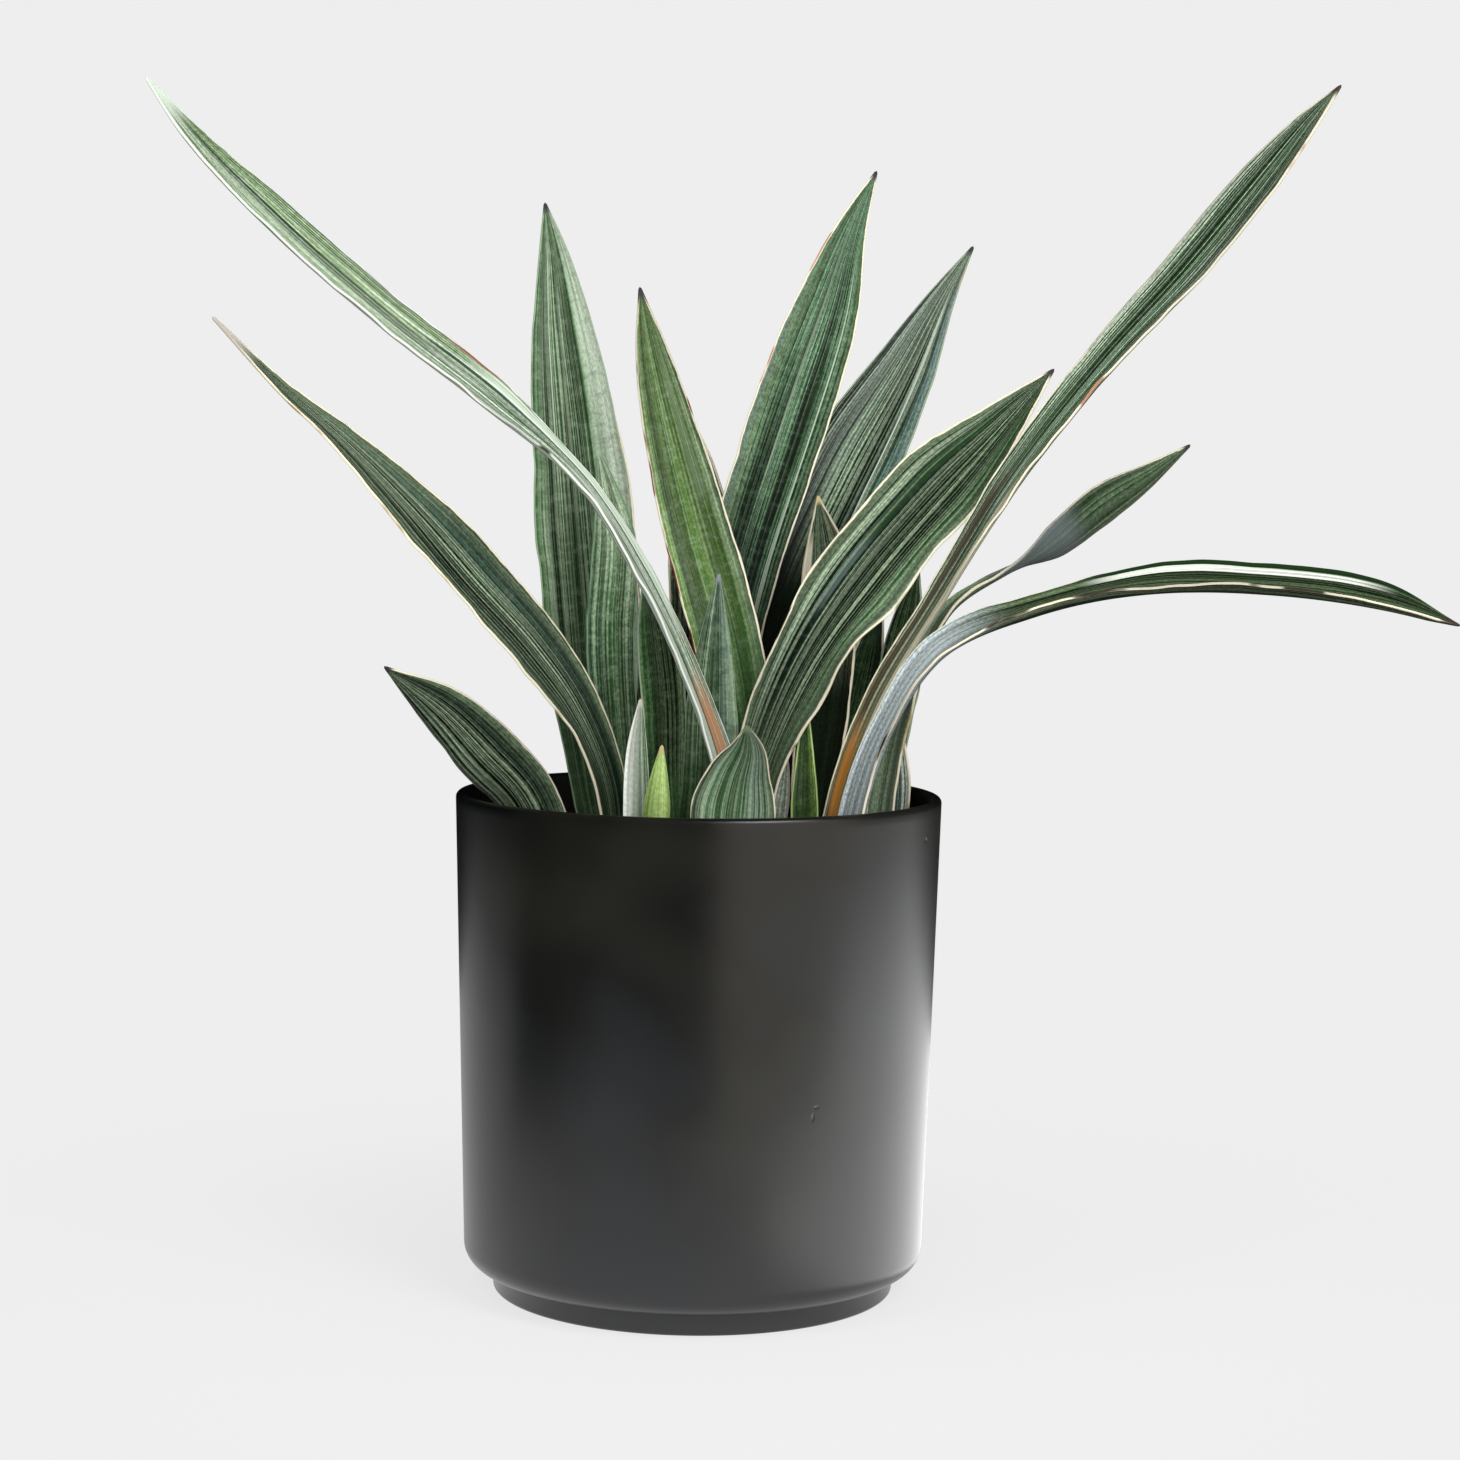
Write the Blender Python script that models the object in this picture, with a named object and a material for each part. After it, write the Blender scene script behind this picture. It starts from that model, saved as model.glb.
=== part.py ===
"""A potted snake plant: a dark pot on a recessed foot, its potting mix, and every leaf as a closed blade.

Named sizes are in millimetres, and metres() turns them into Blender's units. +Z is up. The origin is the
middle of the pot's flat foot. The plant shows its best side towards -Y, and +X is then on the right.
"""

from dataclasses import dataclass
import math

import bmesh
import bpy
import numpy as np

MM = 0.001
GAP = 0.3  # clearance between pieces that touch

# Pot
RIM_RADIUS = 100.0
POT_HEIGHT = 206.0
WALL = 4.5
BODY_LOW_RADIUS = 95.2  # where the rounded lower edge starts
FOOT_RADIUS = 83.0
FOOT_HEIGHT = 9.5
FOOT_ROUNDING = 1.5
LOW_ROUNDING = 10.0
FLOOR_THICKNESS = 14.0  # from the table to the inside floor
FLOOR_ROUNDING = 12.0
TURNS = 64  # sides of every turned piece

# Potting mix
SOIL_AT_WALL = 178.0
SOIL_AT_CENTRE = 183.0
ROOT_END = 155.0  # how deep each leaf base reaches

# Leaves
STATION_STEP = 19.0  # along the blade
ACROSS = (-1.0, -0.55, 0.0, 0.55, 1.0)  # points across a blade, as shares of its half width
THICK_MIDDLE = 2.6
THICK_EDGE = 0.9
TIP_WIDTH = 1.4
HOLE_TOP = 192.0  # the hole cutters end above the mix


@dataclass(frozen=True)
class Leaf:
    """One blade.

    Attributes:
        name: node name.
        rows: (x, y, z, width, turn) from the buried base to the tip. Width is the blade laid flat, and turn is
            the angle in degrees about the blade's own length: 0 shows the hollow face towards -Y, and
            180 shows the outer face.
        channel: how far the blade is rolled into a channel, in degrees, at the base and at the tip.
        colour: base colour, linear.
        wave: height of the waves along both margins.
        waves: number of waves along the blade.
    """

    name: str
    rows: tuple
    channel: tuple
    colour: tuple
    wave: float = 0.0
    waves: float = 0.0


LEAVES = (
    Leaf(
        "leaf_arching_left",
        (
            (12, -52, ROOT_END, 15, 50),
            (12, -54, 180, 16, 50),
            (11, -58, 208, 17, 54),
            (-6, -62, 261, 16, 66),
            (-23, -67, 296, 17, 69),
            (-47, -70, 333, 15, 70),
            (-80, -74, 362, 26, 64),
            (-122, -80, 394, 28, 65),
            (-166, -88, 432, 27, 66),
            (-196, -94, 463, 13, 64),
            (-210, -98, 482, TIP_WIDTH, 60),
        ),
        (95, 60),
        (0.36, 0.45, 0.32),
    ),
    Leaf(
        "leaf_leaning_left",
        (
            (-34, -34, ROOT_END, 15, 45),
            (-34, -35, 180, 16, 45),
            (-36, -38, 208, 18, 46),
            (-50, -46, 244, 25, 48),
            (-66, -54, 267, 31, 50),
            (-90, -62, 294, 34, 50),
            (-112, -70, 320, 27, 50),
            (-141, -80, 350, 14, 48),
            (-158, -86, 365, 8, 46),
            (-185, -95, 393, TIP_WIDTH, 45),
        ),
        (85, 50),
        (0.10, 0.16, 0.12),
        wave=1.2,
        waves=3.5,
    ),
    Leaf(
        "leaf_short_left",
        (
            (-59, -24, ROOT_END, 22, 152),
            (-61, -26, 180, 25, 152),
            (-71, -31, 206, 30, 152),
            (-86, -37, 223, 32, 152),
            (-102, -43, 241, 25, 150),
            (-124, -52, 259, TIP_WIDTH, 150),
        ),
        (70, 40),
        (0.06, 0.13, 0.10),
    ),
    Leaf(
        "leaf_tall_left",
        (
            (-36, 18, ROOT_END, 20, 5),
            (-37, 20, 180, 23, 5),
            (-41, 24, 205, 28, 6),
            (-48, 34, 284, 43, 8),
            (-55, 46, 350, 39, 8),
            (-61, 54, 394, 28, 8),
            (-66, 62, 430, 13, 8),
            (-70, 68, 451, TIP_WIDTH, 8),
        ),
        (75, 55),
        (0.09, 0.20, 0.10),
        wave=0.9,
        waves=4.5,
    ),
    Leaf(
        "leaf_inner_left",
        (
            (-29, -2, ROOT_END, 14, 14),
            (-30, -1, 180, 15, 14),
            (-33, 1, 208, 18, 14),
            (-38, 3, 273, 21, 14),
            (-37, 6, 312, 18, 14),
            (-41, 9, 334, 8, 14),
            (-44, 10, 346, TIP_WIDTH, 14),
        ),
        (80, 50),
        (0.10, 0.22, 0.11),
    ),
    Leaf(
        "leaf_dark_left",
        (
            (-9, -12, ROOT_END, 12, 0),
            (-10, -13, 180, 14, 0),
            (-13, -16, 210, 17, 0),
            (-15, -19, 251, 19, 0),
            (-19, -21, 279, 14, 0),
            (-23, -23, 296, TIP_WIDTH, 0),
        ),
        (80, 50),
        (0.03, 0.09, 0.03),
    ),
    Leaf(
        "leaf_bright_centre",
        (
            (17, 1, ROOT_END, 19, 4),
            (18, 2, 180, 21, 4),
            (19, 4, 212, 24, 4),
            (10, 4, 270, 30, 4),
            (-3, 3, 315, 29, 4),
            (-13, 2, 351, 24, 4),
            (-22, 2, 387, 14, 4),
            (-27, 3, 412, TIP_WIDTH, 4),
        ),
        (80, 55),
        (0.20, 0.36, 0.12),
    ),
    Leaf(
        "leaf_front_spear",
        (
            (1, -35, ROOT_END, 17, 178),
            (1, -36, 180, 20, 178),
            (4, -38, 208, 23, 178),
            (5, -41, 249, 20, 178),
            (6, -44, 276, 11, 178),
            (7, -46, 297, TIP_WIDTH, 178),
        ),
        (80, 50),
        (0.10, 0.22, 0.16),
    ),
    Leaf(
        "leaf_pale_sliver",
        (
            (-24, -53, ROOT_END, 9, 192),
            (-24, -54, 180, 10, 192),
            (-24, -56, 205, 11, 192),
            (-24, -58, 230, 8, 192),
            (-23, -60, 248, TIP_WIDTH, 192),
        ),
        (90, 50),
        (0.55, 0.65, 0.48),
    ),
    Leaf(
        "leaf_yellow_shoot",
        (
            (-17, -67, ROOT_END, 9, 176),
            (-17, -67, 180, 10, 176),
            (-16, -69, 205, 11, 176),
            (-15, -71, 219, 7, 176),
            (-14, -73, 231, TIP_WIDTH, 176),
        ),
        (90, 50),
        (0.34, 0.52, 0.13),
    ),
    Leaf(
        "leaf_front_blunt",
        (
            (14, -71, ROOT_END, 24, 180),
            (14, -72, 180, 30, 180),
            (14, -74, 205, 35, 180),
            (16, -77, 219, 27, 180),
            (19, -80, 231, 15, 180),
            (19, -82, 240, 2.0, 180),
        ),
        (85, 50),
        (0.16, 0.27, 0.20),
    ),
    Leaf(
        "leaf_grey_shoot",
        (
            (29, -11, ROOT_END, 12, -8),
            (29, -11, 180, 14, -8),
            (30, -10, 202, 15, -8),
            (33, -9, 216, 9, -8),
            (35, -8, 227, TIP_WIDTH, -8),
        ),
        (90, 60),
        (0.24, 0.26, 0.30),
    ),
    Leaf(
        "leaf_green_shoot",
        (
            (43, -28, ROOT_END, 10, 0),
            (43, -28, 180, 12, 0),
            (43, -26, 201, 12, 0),
            (43, -20, 222, 8, 0),
            (43, -14, 247, TIP_WIDTH, 0),
        ),
        (90, 60),
        (0.05, 0.19, 0.02),
    ),
    Leaf(
        "leaf_broad_right",
        (
            (17, -24, ROOT_END, 19, -20),
            (18, -24, 180, 21, -20),
            (22, -23, 206, 22, -20),
            (41, -20, 258, 31, -20),
            (67, -17, 298, 39, -20),
            (93, -14, 329, 39, -20),
            (120, -12, 358, 21, -20),
            (141, -10, 381, TIP_WIDTH, -20),
        ),
        (80, 50),
        (0.07, 0.15, 0.08),
        wave=2.0,
        waves=4.5,
    ),
    Leaf(
        "leaf_tall_centre",
        (
            (2, 21, ROOT_END, 17, 10),
            (3, 23, 180, 19, 10),
            (5, 26, 205, 21, 10),
            (13, 35, 285, 32, 10),
            (33, 50, 356, 36, 10),
            (50, 62, 407, 30, 10),
            (62, 74, 445, 13, 10),
            (72, 84, 468, TIP_WIDTH, 10),
        ),
        (80, 55),
        (0.11, 0.19, 0.14),
    ),
    Leaf(
        "leaf_blue_right",
        (
            (16, 46, ROOT_END, 21, -10),
            (17, 48, 180, 24, -10),
            (21, 51, 205, 28, -10),
            (38, 64, 283, 41, -10),
            (62, 78, 338, 42, -10),
            (87, 96, 384, 28, -10),
            (105, 111, 419, 11, -10),
            (117, 120, 439, TIP_WIDTH, -10),
        ),
        (75, 50),
        (0.12, 0.22, 0.19),
    ),
    Leaf(
        "leaf_wedge_right",
        (
            (45, 18, ROOT_END, 14, -5),
            (46, 19, 180, 16, -5),
            (48, 22, 206, 20, -5),
            (53, 27, 262, 24, -5),
            (52, 30, 302, 20, -5),
            (48, 34, 328, TIP_WIDTH, -5),
        ),
        (80, 50),
        (0.08, 0.10, 0.05),
    ),
    Leaf(
        "leaf_arching_right",
        (
            (53, -22, ROOT_END, 14, -55),
            (54, -23, 180, 15, -55),
            (58, -25, 206, 15, -58),
            (71, -30, 245, 16, -62),
            (95, -38, 288, 18, -68),
            (127, -42, 341, 23, -65),
            (160, -45, 384, 27, -64),
            (191, -48, 419, 30, -60),
            (219, -50, 455, 26, -58),
            (236, -51, 478, 13, -56),
            (246, -52, 491, TIP_WIDTH, -55),
        ),
        (95, 60),
        (0.13, 0.25, 0.12),
    ),
    Leaf(
        "leaf_drooping_right",
        (
            (60, -44, ROOT_END, 18, -58),
            (61, -45, 180, 20, -60),
            (64, -48, 203, 20, -62),
            (75, -54, 238, 19, -66),
            (95, -61, 269, 24, -71),
            (130, -68, 285, 23, -78),
            (171, -76, 295, 34, -77),
            (218, -84, 296, 36, -76),
            (262, -91, 291, 30, -73),
            (289, -96, 284, TIP_WIDTH, -70),
        ),
        (100, 70),
        (0.13, 0.22, 0.15),
        wave=1.0,
        waves=4.0,
    ),
    Leaf(
        "leaf_twisted_right",
        (
            (74, 2, ROOT_END, 13, -44),
            (75, 3, 180, 15, -46),
            (78, 6, 207, 17, -50),
            (88, 10, 250, 16, -62),
            (103, 15, 282, 14, -78),
            (127, 24, 298, 13, -92),
            (145, 30, 307, 23, -124),
            (170, 39, 326, 22, -144),
            (189, 47, 339, 12, -150),
            (206, 53, 352, TIP_WIDTH, -150),
        ),
        (85, 55),
        (0.04, 0.09, 0.05),
    ),
    Leaf(
        "leaf_striped_shoot",
        (
            (79, 17, ROOT_END, 12, -30),
            (80, 18, 180, 14, -30),
            (82, 20, 203, 18, -30),
            (82, 22, 226, 10, -30),
            (80, 24, 243, TIP_WIDTH, -30),
        ),
        (90, 60),
        (0.12, 0.20, 0.12),
    ),
    Leaf(
        "leaf_dark_right",
        (
            (70, 38, ROOT_END, 14, -25),
            (71, 39, 180, 16, -25),
            (76, 41, 206, 19, -25),
            (84, 47, 245, 21, -25),
            (88, 52, 275, 15, -25),
            (92, 57, 298, TIP_WIDTH, -25),
        ),
        (80, 55),
        (0.02, 0.05, 0.02),
    ),
    Leaf(
        "leaf_back_left",
        (
            (-30, 44, ROOT_END, 18, 8),
            (-31, 46, 180, 21, 8),
            (-36, 52, 210, 27, 8),
            (-46, 72, 300, 35, 8),
            (-50, 88, 350, 27, 8),
            (-54, 104, 392, TIP_WIDTH, 8),
        ),
        (75, 50),
        (0.07, 0.15, 0.08),
    ),
    Leaf(
        "leaf_back_centre",
        (
            (-6, 63, ROOT_END, 17, 0),
            (-6, 65, 180, 20, 0),
            (-4, 70, 210, 26, 0),
            (0, 92, 285, 32, 0),
            (-4, 108, 332, 22, 0),
            (-10, 120, 368, TIP_WIDTH, 0),
        ),
        (75, 50),
        (0.07, 0.15, 0.08),
    ),
    Leaf(
        "leaf_back_right",
        (
            (35, 60, ROOT_END, 17, -8),
            (37, 62, 180, 19, -8),
            (43, 68, 215, 26, -8),
            (62, 96, 300, 33, -8),
            (76, 116, 342, 22, -8),
            (86, 130, 374, TIP_WIDTH, -8),
        ),
        (75, 50),
        (0.07, 0.15, 0.08),
    ),
    Leaf(
        "leaf_back_edge",
        (
            (58, 48, ROOT_END, 13, -20),
            (59, 49, 180, 15, -20),
            (63, 54, 215, 19, -20),
            (71, 66, 255, 16, -20),
            (78, 76, 285, TIP_WIDTH, -20),
        ),
        (85, 55),
        (0.03, 0.07, 0.03),
    ),
)


def metres(points: np.ndarray) -> np.ndarray:
    """Millimetres to Blender's units."""
    return np.asarray(points, float) * MM


def clear_scene() -> None:
    """Removes every object that the file starts with."""
    for obj in list(bpy.data.objects):
        bpy.data.objects.remove(obj, do_unlink=True)


def material(name: str, colour: tuple, roughness: float) -> bpy.types.Material:
    """A plain Principled material with the piece's own colour."""
    made = bpy.data.materials.new(name)
    made.use_nodes = True
    shader = made.node_tree.nodes["Principled BSDF"]
    shader.inputs["Base Color"].default_value = (*colour, 1.0)
    shader.inputs["Roughness"].default_value = roughness
    shader.inputs["Metallic"].default_value = 0.0
    return made


def add_object(name: str, mesh: bpy.types.Mesh, finish: bpy.types.Material | None) -> bpy.types.Object:
    """Puts a mesh in the scene as a named object."""
    obj = bpy.data.objects.new(name, mesh)
    bpy.context.scene.collection.objects.link(obj)
    if finish:
        mesh.materials.append(finish)
    mesh.shade_smooth()
    mesh.set_sharp_from_angle(angle=math.radians(40))
    return obj


# Turned pieces


def arc(centre: tuple, radius: float, start: float, end: float, steps: int) -> list:
    """Points (radius, height) on a circle's arc, with angles in degrees."""
    angles = np.radians(np.linspace(start, end, steps + 1))
    return [(centre[0] + radius * math.cos(a), centre[1] + radius * math.sin(a)) for a in angles]


def outer_radius(height: float) -> float:
    """The pot's outside radius on its straight taper."""
    low = FOOT_HEIGHT + LOW_ROUNDING
    lip = POT_HEIGHT - WALL / 2
    return BODY_LOW_RADIUS + (RIM_RADIUS - BODY_LOW_RADIUS) * (height - low) / (lip - low)


def inner_radius(height: float) -> float:
    """The cavity's radius on its straight taper."""
    return outer_radius(height) - WALL


def cavity_corner(clearance: float) -> list:
    """The rounding between the cavity's floor and its wall, from the floor up, drawn in by a clearance."""
    height = FLOOR_THICKNESS + FLOOR_ROUNDING
    centre = (inner_radius(height) - FLOOR_ROUNDING, height)
    return arc(centre, FLOOR_ROUNDING - clearance, -90, 0, 4)


def turned(name: str, profile: list) -> bpy.types.Mesh:
    """Spins a profile of (radius, height) points, given from the lower middle outwards and up.

    The first and the last point share one height with the middle, so a flat disc closes each end.
    """
    shape = bmesh.new()
    rim = [shape.verts.new(metres((radius, 0.0, height))) for radius, height in profile]
    for first, second in zip(rim, rim[1:]):
        shape.edges.new((first, second))
    bmesh.ops.spin(
        shape,
        geom=shape.verts[:] + shape.edges[:],
        cent=(0, 0, 0),
        axis=(0, 0, 1),
        angle=2 * math.pi,
        steps=TURNS,
        use_merge=True,
    )
    bmesh.ops.remove_doubles(shape, verts=shape.verts, dist=1e-6)
    bmesh.ops.holes_fill(shape, edges=[e for e in shape.edges if e.is_boundary], sides=TURNS)
    bmesh.ops.recalc_face_normals(shape, faces=shape.faces)
    mesh = bpy.data.meshes.new(name)
    shape.to_mesh(mesh)
    shape.free()
    return mesh


def build_pot() -> bpy.types.Object:
    """The pot: a foot set back under the body, a straight taper, a rounded lip and a deep cavity."""
    low = FOOT_HEIGHT + LOW_ROUNDING
    lip = POT_HEIGHT - WALL / 2
    foot_centre = (FOOT_RADIUS - FOOT_ROUNDING, FOOT_ROUNDING)
    profile = [
        *arc(foot_centre, FOOT_ROUNDING, -90, 0, 2),
        (FOOT_RADIUS, FOOT_HEIGHT),
        *arc((BODY_LOW_RADIUS - LOW_ROUNDING, low), LOW_ROUNDING, -80, 0, 5),
        (outer_radius(110.0), 110.0),
        *arc((RIM_RADIUS - WALL / 2, lip), WALL / 2, 0, 180, 6),
        (inner_radius(110.0), 110.0),
        *reversed(cavity_corner(0.0)),
    ]
    return add_object("pot", turned("pot", profile), material("dark_glaze", (0.022, 0.023, 0.023), 0.42))


def build_mix() -> bpy.types.Object:
    """The potting mix: it fills the cavity to below the lip and swells a little towards the middle."""
    wall = SOIL_AT_WALL
    profile = [
        *cavity_corner(GAP),
        (inner_radius(110.0) - GAP, 110.0),
        (inner_radius(wall) - GAP, wall),
        (inner_radius(wall) - 4.0, wall + 1.4),
        (62.0, SOIL_AT_CENTRE - 1.4),
        (30.0, SOIL_AT_CENTRE - 0.3),
        (12.0, SOIL_AT_CENTRE),
    ]
    return add_object(
        "potting_mix", turned("potting_mix", profile), material("potting_mix", (0.045, 0.03, 0.02), 0.9)
    )


# Leaves


def smooth_rows(leaf: Leaf) -> np.ndarray:
    """The leaf's rows sampled evenly along a smooth curve through them.

    Args:
        leaf: the blade.

    Returns:
        One row (x, y, z, width, turn) for each station.
    """
    rows = np.array(leaf.rows, float)
    steps = np.linalg.norm(np.diff(rows[:, :3], axis=0), axis=1)
    along = np.concatenate([[0.0], np.cumsum(steps)])
    slopes = np.gradient(rows, along, axis=0)
    # a width keeps no overshoot: its slope is flat where it peaks
    widths = rows[:, 3]
    for i in range(1, len(rows) - 1):
        if (widths[i] - widths[i - 1]) * (widths[i + 1] - widths[i]) <= 0:
            slopes[i, 3] = 0.0
    count = max(8, round(along[-1] / STATION_STEP) + 1)
    places = np.linspace(0.0, along[-1], count)
    span = np.clip(np.searchsorted(along, places, side="right") - 1, 0, len(along) - 2)
    length = (along[span + 1] - along[span])[:, None]
    t = ((places - along[span]) / length[:, 0])[:, None]
    start = (1 + 2 * t) * (1 - t) ** 2
    return (
        start * rows[span]
        + t * (1 - t) ** 2 * length * slopes[span]
        + (1 - start) * rows[span + 1]
        + t**2 * (t - 1) * length * slopes[span + 1]
    )


def channel_points(width: float, channel: float) -> list:
    """Points across a rolled blade, each with its own slope.

    Args:
        width: the blade laid flat.
        channel: the whole angle that it is rolled through, in degrees.

    Returns:
        (across, depth, slope) for each point, with the deepest point at 0, 0.
    """
    half = math.radians(channel) / 2
    radius = width / (2 * half)
    return [(radius * math.sin(half * u), radius * (1 - math.cos(half * u)), half * u) for u in ACROSS]


def blade_rings(leaf: Leaf, clearance: float = 0.0) -> np.ndarray:
    """Every station's ring of points, front face first, then the back face.

    Args:
        leaf: the blade.
        clearance: how far each ring is grown, for a hole that the blade stands in.

    Returns:
        An array of stations x 2 x points across x 3, in millimetres.
    """
    rows = smooth_rows(leaf)
    spine = rows[:, :3]
    tangents = np.gradient(spine, axis=0)
    tangents /= np.linalg.norm(tangents, axis=1)[:, None]
    rings = []
    for k, (row, tangent) in enumerate(zip(rows, tangents)):
        share = k / (len(rows) - 1)
        side = np.cross(tangent, (0.0, -1.0, 0.0))
        side /= np.linalg.norm(side)
        face = np.cross(side, tangent)
        turn = math.radians(row[4])
        side, face = (
            side * math.cos(turn) - face * math.sin(turn),
            face * math.cos(turn) + side * math.sin(turn),
        )
        width = max(row[3], TIP_WIDTH) + 2 * clearance
        channel = leaf.channel[0] + (leaf.channel[1] - leaf.channel[0]) * share
        swell = leaf.wave * math.sin(math.pi * share) ** 2 * min(1.0, width / 20.0)
        middle = min(THICK_MIDDLE, 0.9 + width * 0.12) / 2
        front, back = [], []
        for u, (across, depth, slope) in zip(ACROSS, channel_points(width, channel)):
            ripple = swell * u * abs(u) * math.sin(2 * math.pi * leaf.waves * share + 0.9 * u)
            normal = face * math.cos(slope) - side * math.sin(slope)
            point = row[:3] + side * across + face * depth + normal * ripple
            half = middle + (THICK_EDGE / 2 - middle) * u * u + clearance
            front.append(point + normal * half)
            back.append(point - normal * half)
        rings.append((front, back))
    return np.array(rings)


def loft(shape: bmesh.types.BMesh, rings: np.ndarray) -> None:
    """Skins the rings into one closed blade, with both faces split into triangles the same way."""
    verts = [[[shape.verts.new(metres(p)) for p in face] for face in ring] for ring in rings]
    last = len(ACROSS) - 1
    for low, high in zip(verts, verts[1:]):
        for i in range(last):
            a, b, c, d = low[0][i], low[0][i + 1], high[0][i + 1], high[0][i]
            shape.faces.new((a, b, c))
            shape.faces.new((a, c, d))
            a, b, c, d = low[1][i], low[1][i + 1], high[1][i + 1], high[1][i]
            shape.faces.new((a, c, b))
            shape.faces.new((a, d, c))
        for i, flip in ((0, False), (last, True)):
            a, b, c, d = low[0][i], high[0][i], high[1][i], low[1][i]
            shape.faces.new((a, c, d) if not flip else (a, d, c))
            shape.faces.new((a, b, c) if not flip else (a, c, b))
    for ring, flip in ((verts[0], False), (verts[-1], True)):
        for i in range(last):
            a, b, c, d = ring[0][i], ring[1][i], ring[1][i + 1], ring[0][i + 1]
            shape.faces.new((a, b, c) if not flip else (a, c, b))
            shape.faces.new((a, c, d) if not flip else (a, d, c))


def build_leaf(leaf: Leaf, plant: bpy.types.Object) -> bpy.types.Object:
    """One leaf, with its object's origin where its base ends in the mix."""
    base = np.array(leaf.rows[0][:3], float)
    shape = bmesh.new()
    loft(shape, blade_rings(leaf) - base)
    mesh = bpy.data.meshes.new(leaf.name)
    shape.to_mesh(mesh)
    shape.free()
    obj = add_object(leaf.name, mesh, material(leaf.name, leaf.colour, 0.45))
    obj.location = metres(base)
    obj.parent = plant
    return obj


def cut_holes(mix: bpy.types.Object) -> None:
    """Cuts a plain hole in the mix for each leaf base, a little larger than the leaf all round."""
    shape = bmesh.new()
    for leaf in LEAVES:
        rings = blade_rings(leaf, GAP)
        heights = rings.mean(axis=(1, 2))[:, 2]
        count = int(np.argmax(heights > HOLE_TOP)) + 1
        rings = rings[:count].copy()
        rings[0, :, :, 2] -= GAP
        loft(shape, rings)
    mesh = bpy.data.meshes.new("leaf_holes")
    shape.to_mesh(mesh)
    shape.free()
    cutter = add_object("leaf_holes", mesh, None)
    cutter.hide_render = True
    cutter.display_type = "WIRE"
    holes = mix.modifiers.new("leaf_holes", "BOOLEAN")
    holes.operation = "DIFFERENCE"
    holes.solver = "EXACT"
    holes.object = cutter


def main() -> None:
    """Builds the pot, its filling and the plant."""
    clear_scene()
    build_pot()
    mix = build_mix()
    plant = bpy.data.objects.new("snake_plant", None)
    bpy.context.scene.collection.objects.link(plant)
    for leaf in LEAVES:
        build_leaf(leaf, plant)
    cut_holes(mix)


if __name__ == "__main__":
    main()
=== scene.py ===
"""Dressing of a potted snake plant: striped blades, a satin glazed pot and loose bark mix.

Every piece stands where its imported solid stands. Sizes inside the classes are in millimetres, and
metres() turns them into Blender's units. Each blade is laid along the same rows as its solid.
"""

from dataclasses import dataclass, replace
from enum import Enum
import logging
import math

import bmesh
import bpy
from mathutils import Matrix, Vector
import numpy as np

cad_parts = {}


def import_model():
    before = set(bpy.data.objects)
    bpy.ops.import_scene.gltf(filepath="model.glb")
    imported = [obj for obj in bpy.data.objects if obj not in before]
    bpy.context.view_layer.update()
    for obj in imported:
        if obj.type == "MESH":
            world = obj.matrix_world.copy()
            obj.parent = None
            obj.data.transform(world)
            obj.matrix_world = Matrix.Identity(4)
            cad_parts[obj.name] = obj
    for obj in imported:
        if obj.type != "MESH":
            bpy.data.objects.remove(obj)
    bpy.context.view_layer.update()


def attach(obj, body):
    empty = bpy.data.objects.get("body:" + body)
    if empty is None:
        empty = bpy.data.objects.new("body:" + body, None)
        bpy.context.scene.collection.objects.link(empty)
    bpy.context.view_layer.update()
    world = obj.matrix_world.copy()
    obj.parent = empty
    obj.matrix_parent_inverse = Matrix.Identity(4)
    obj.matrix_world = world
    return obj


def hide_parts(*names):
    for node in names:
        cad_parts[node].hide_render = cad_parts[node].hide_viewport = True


MM = 0.001
LOG = logging.getLogger("snake_plant")


class Slot(Enum):
    """The material slots."""

    GLAZE = "dark_glaze"
    MIX = "potting_mix"
    SILVER = "leaf_silver"
    GREY_GREEN = "leaf_grey_green"
    BLUE_GREEN = "leaf_blue_green"
    GREEN = "leaf_green"
    DARK_GREEN = "leaf_dark_green"
    YELLOW_GREEN = "leaf_yellow_green"
    CREAM = "leaf_cream"


def metres(points: np.ndarray) -> np.ndarray:
    """Millimetres to Blender's units."""
    return np.asarray(points, float) * MM


def linear(colour: str) -> tuple:
    """An sRGB hex value as a linear colour with alpha.

    Args:
        colour: such as "#3f6b4c".

    Returns:
        Red, green, blue and alpha, from 0 to 1.
    """
    parts = [int(colour[i : i + 2], 16) / 255 for i in (1, 3, 5)]
    return (*(c / 12.92 if c <= 0.04045 else ((c + 0.055) / 1.055) ** 2.4 for c in parts), 1.0)


# Nodes


def add(
    tree: bpy.types.NodeTree,
    kind: str,
    inputs: dict | None = None,
    stops: tuple = (),
    **settings: object,
) -> bpy.types.Node:
    """Adds one node with its settings, constants and links.

    Args:
        tree: the node tree that it goes into.
        kind: Blender's name for the node.
        inputs: what goes into its sockets, by name or number: a node, an output, or a constant.
        stops: (place, hex or grey value) pairs for a colour ramp, from 0 to 1.
        settings: the node's own settings.

    Returns:
        The node.
    """
    node = tree.nodes.new(kind)
    for key, value in settings.items():
        setattr(node, key, value)
    for key, value in (inputs or {}).items():
        if isinstance(value, bpy.types.Node):
            value = next(out for out in value.outputs if out.enabled)
        if isinstance(value, bpy.types.NodeSocket):
            tree.links.new(value, node.inputs[key])
        else:
            node.inputs[key].default_value = value
    if stops:
        points = node.color_ramp.elements
        while len(points) < len(stops):
            points.new(0.5)
        for point, (place, colour) in zip(points, sorted(stops)):
            point.position = place
            point.color = linear(colour) if isinstance(colour, str) else (colour, colour, colour, 1.0)
    return node


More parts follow.
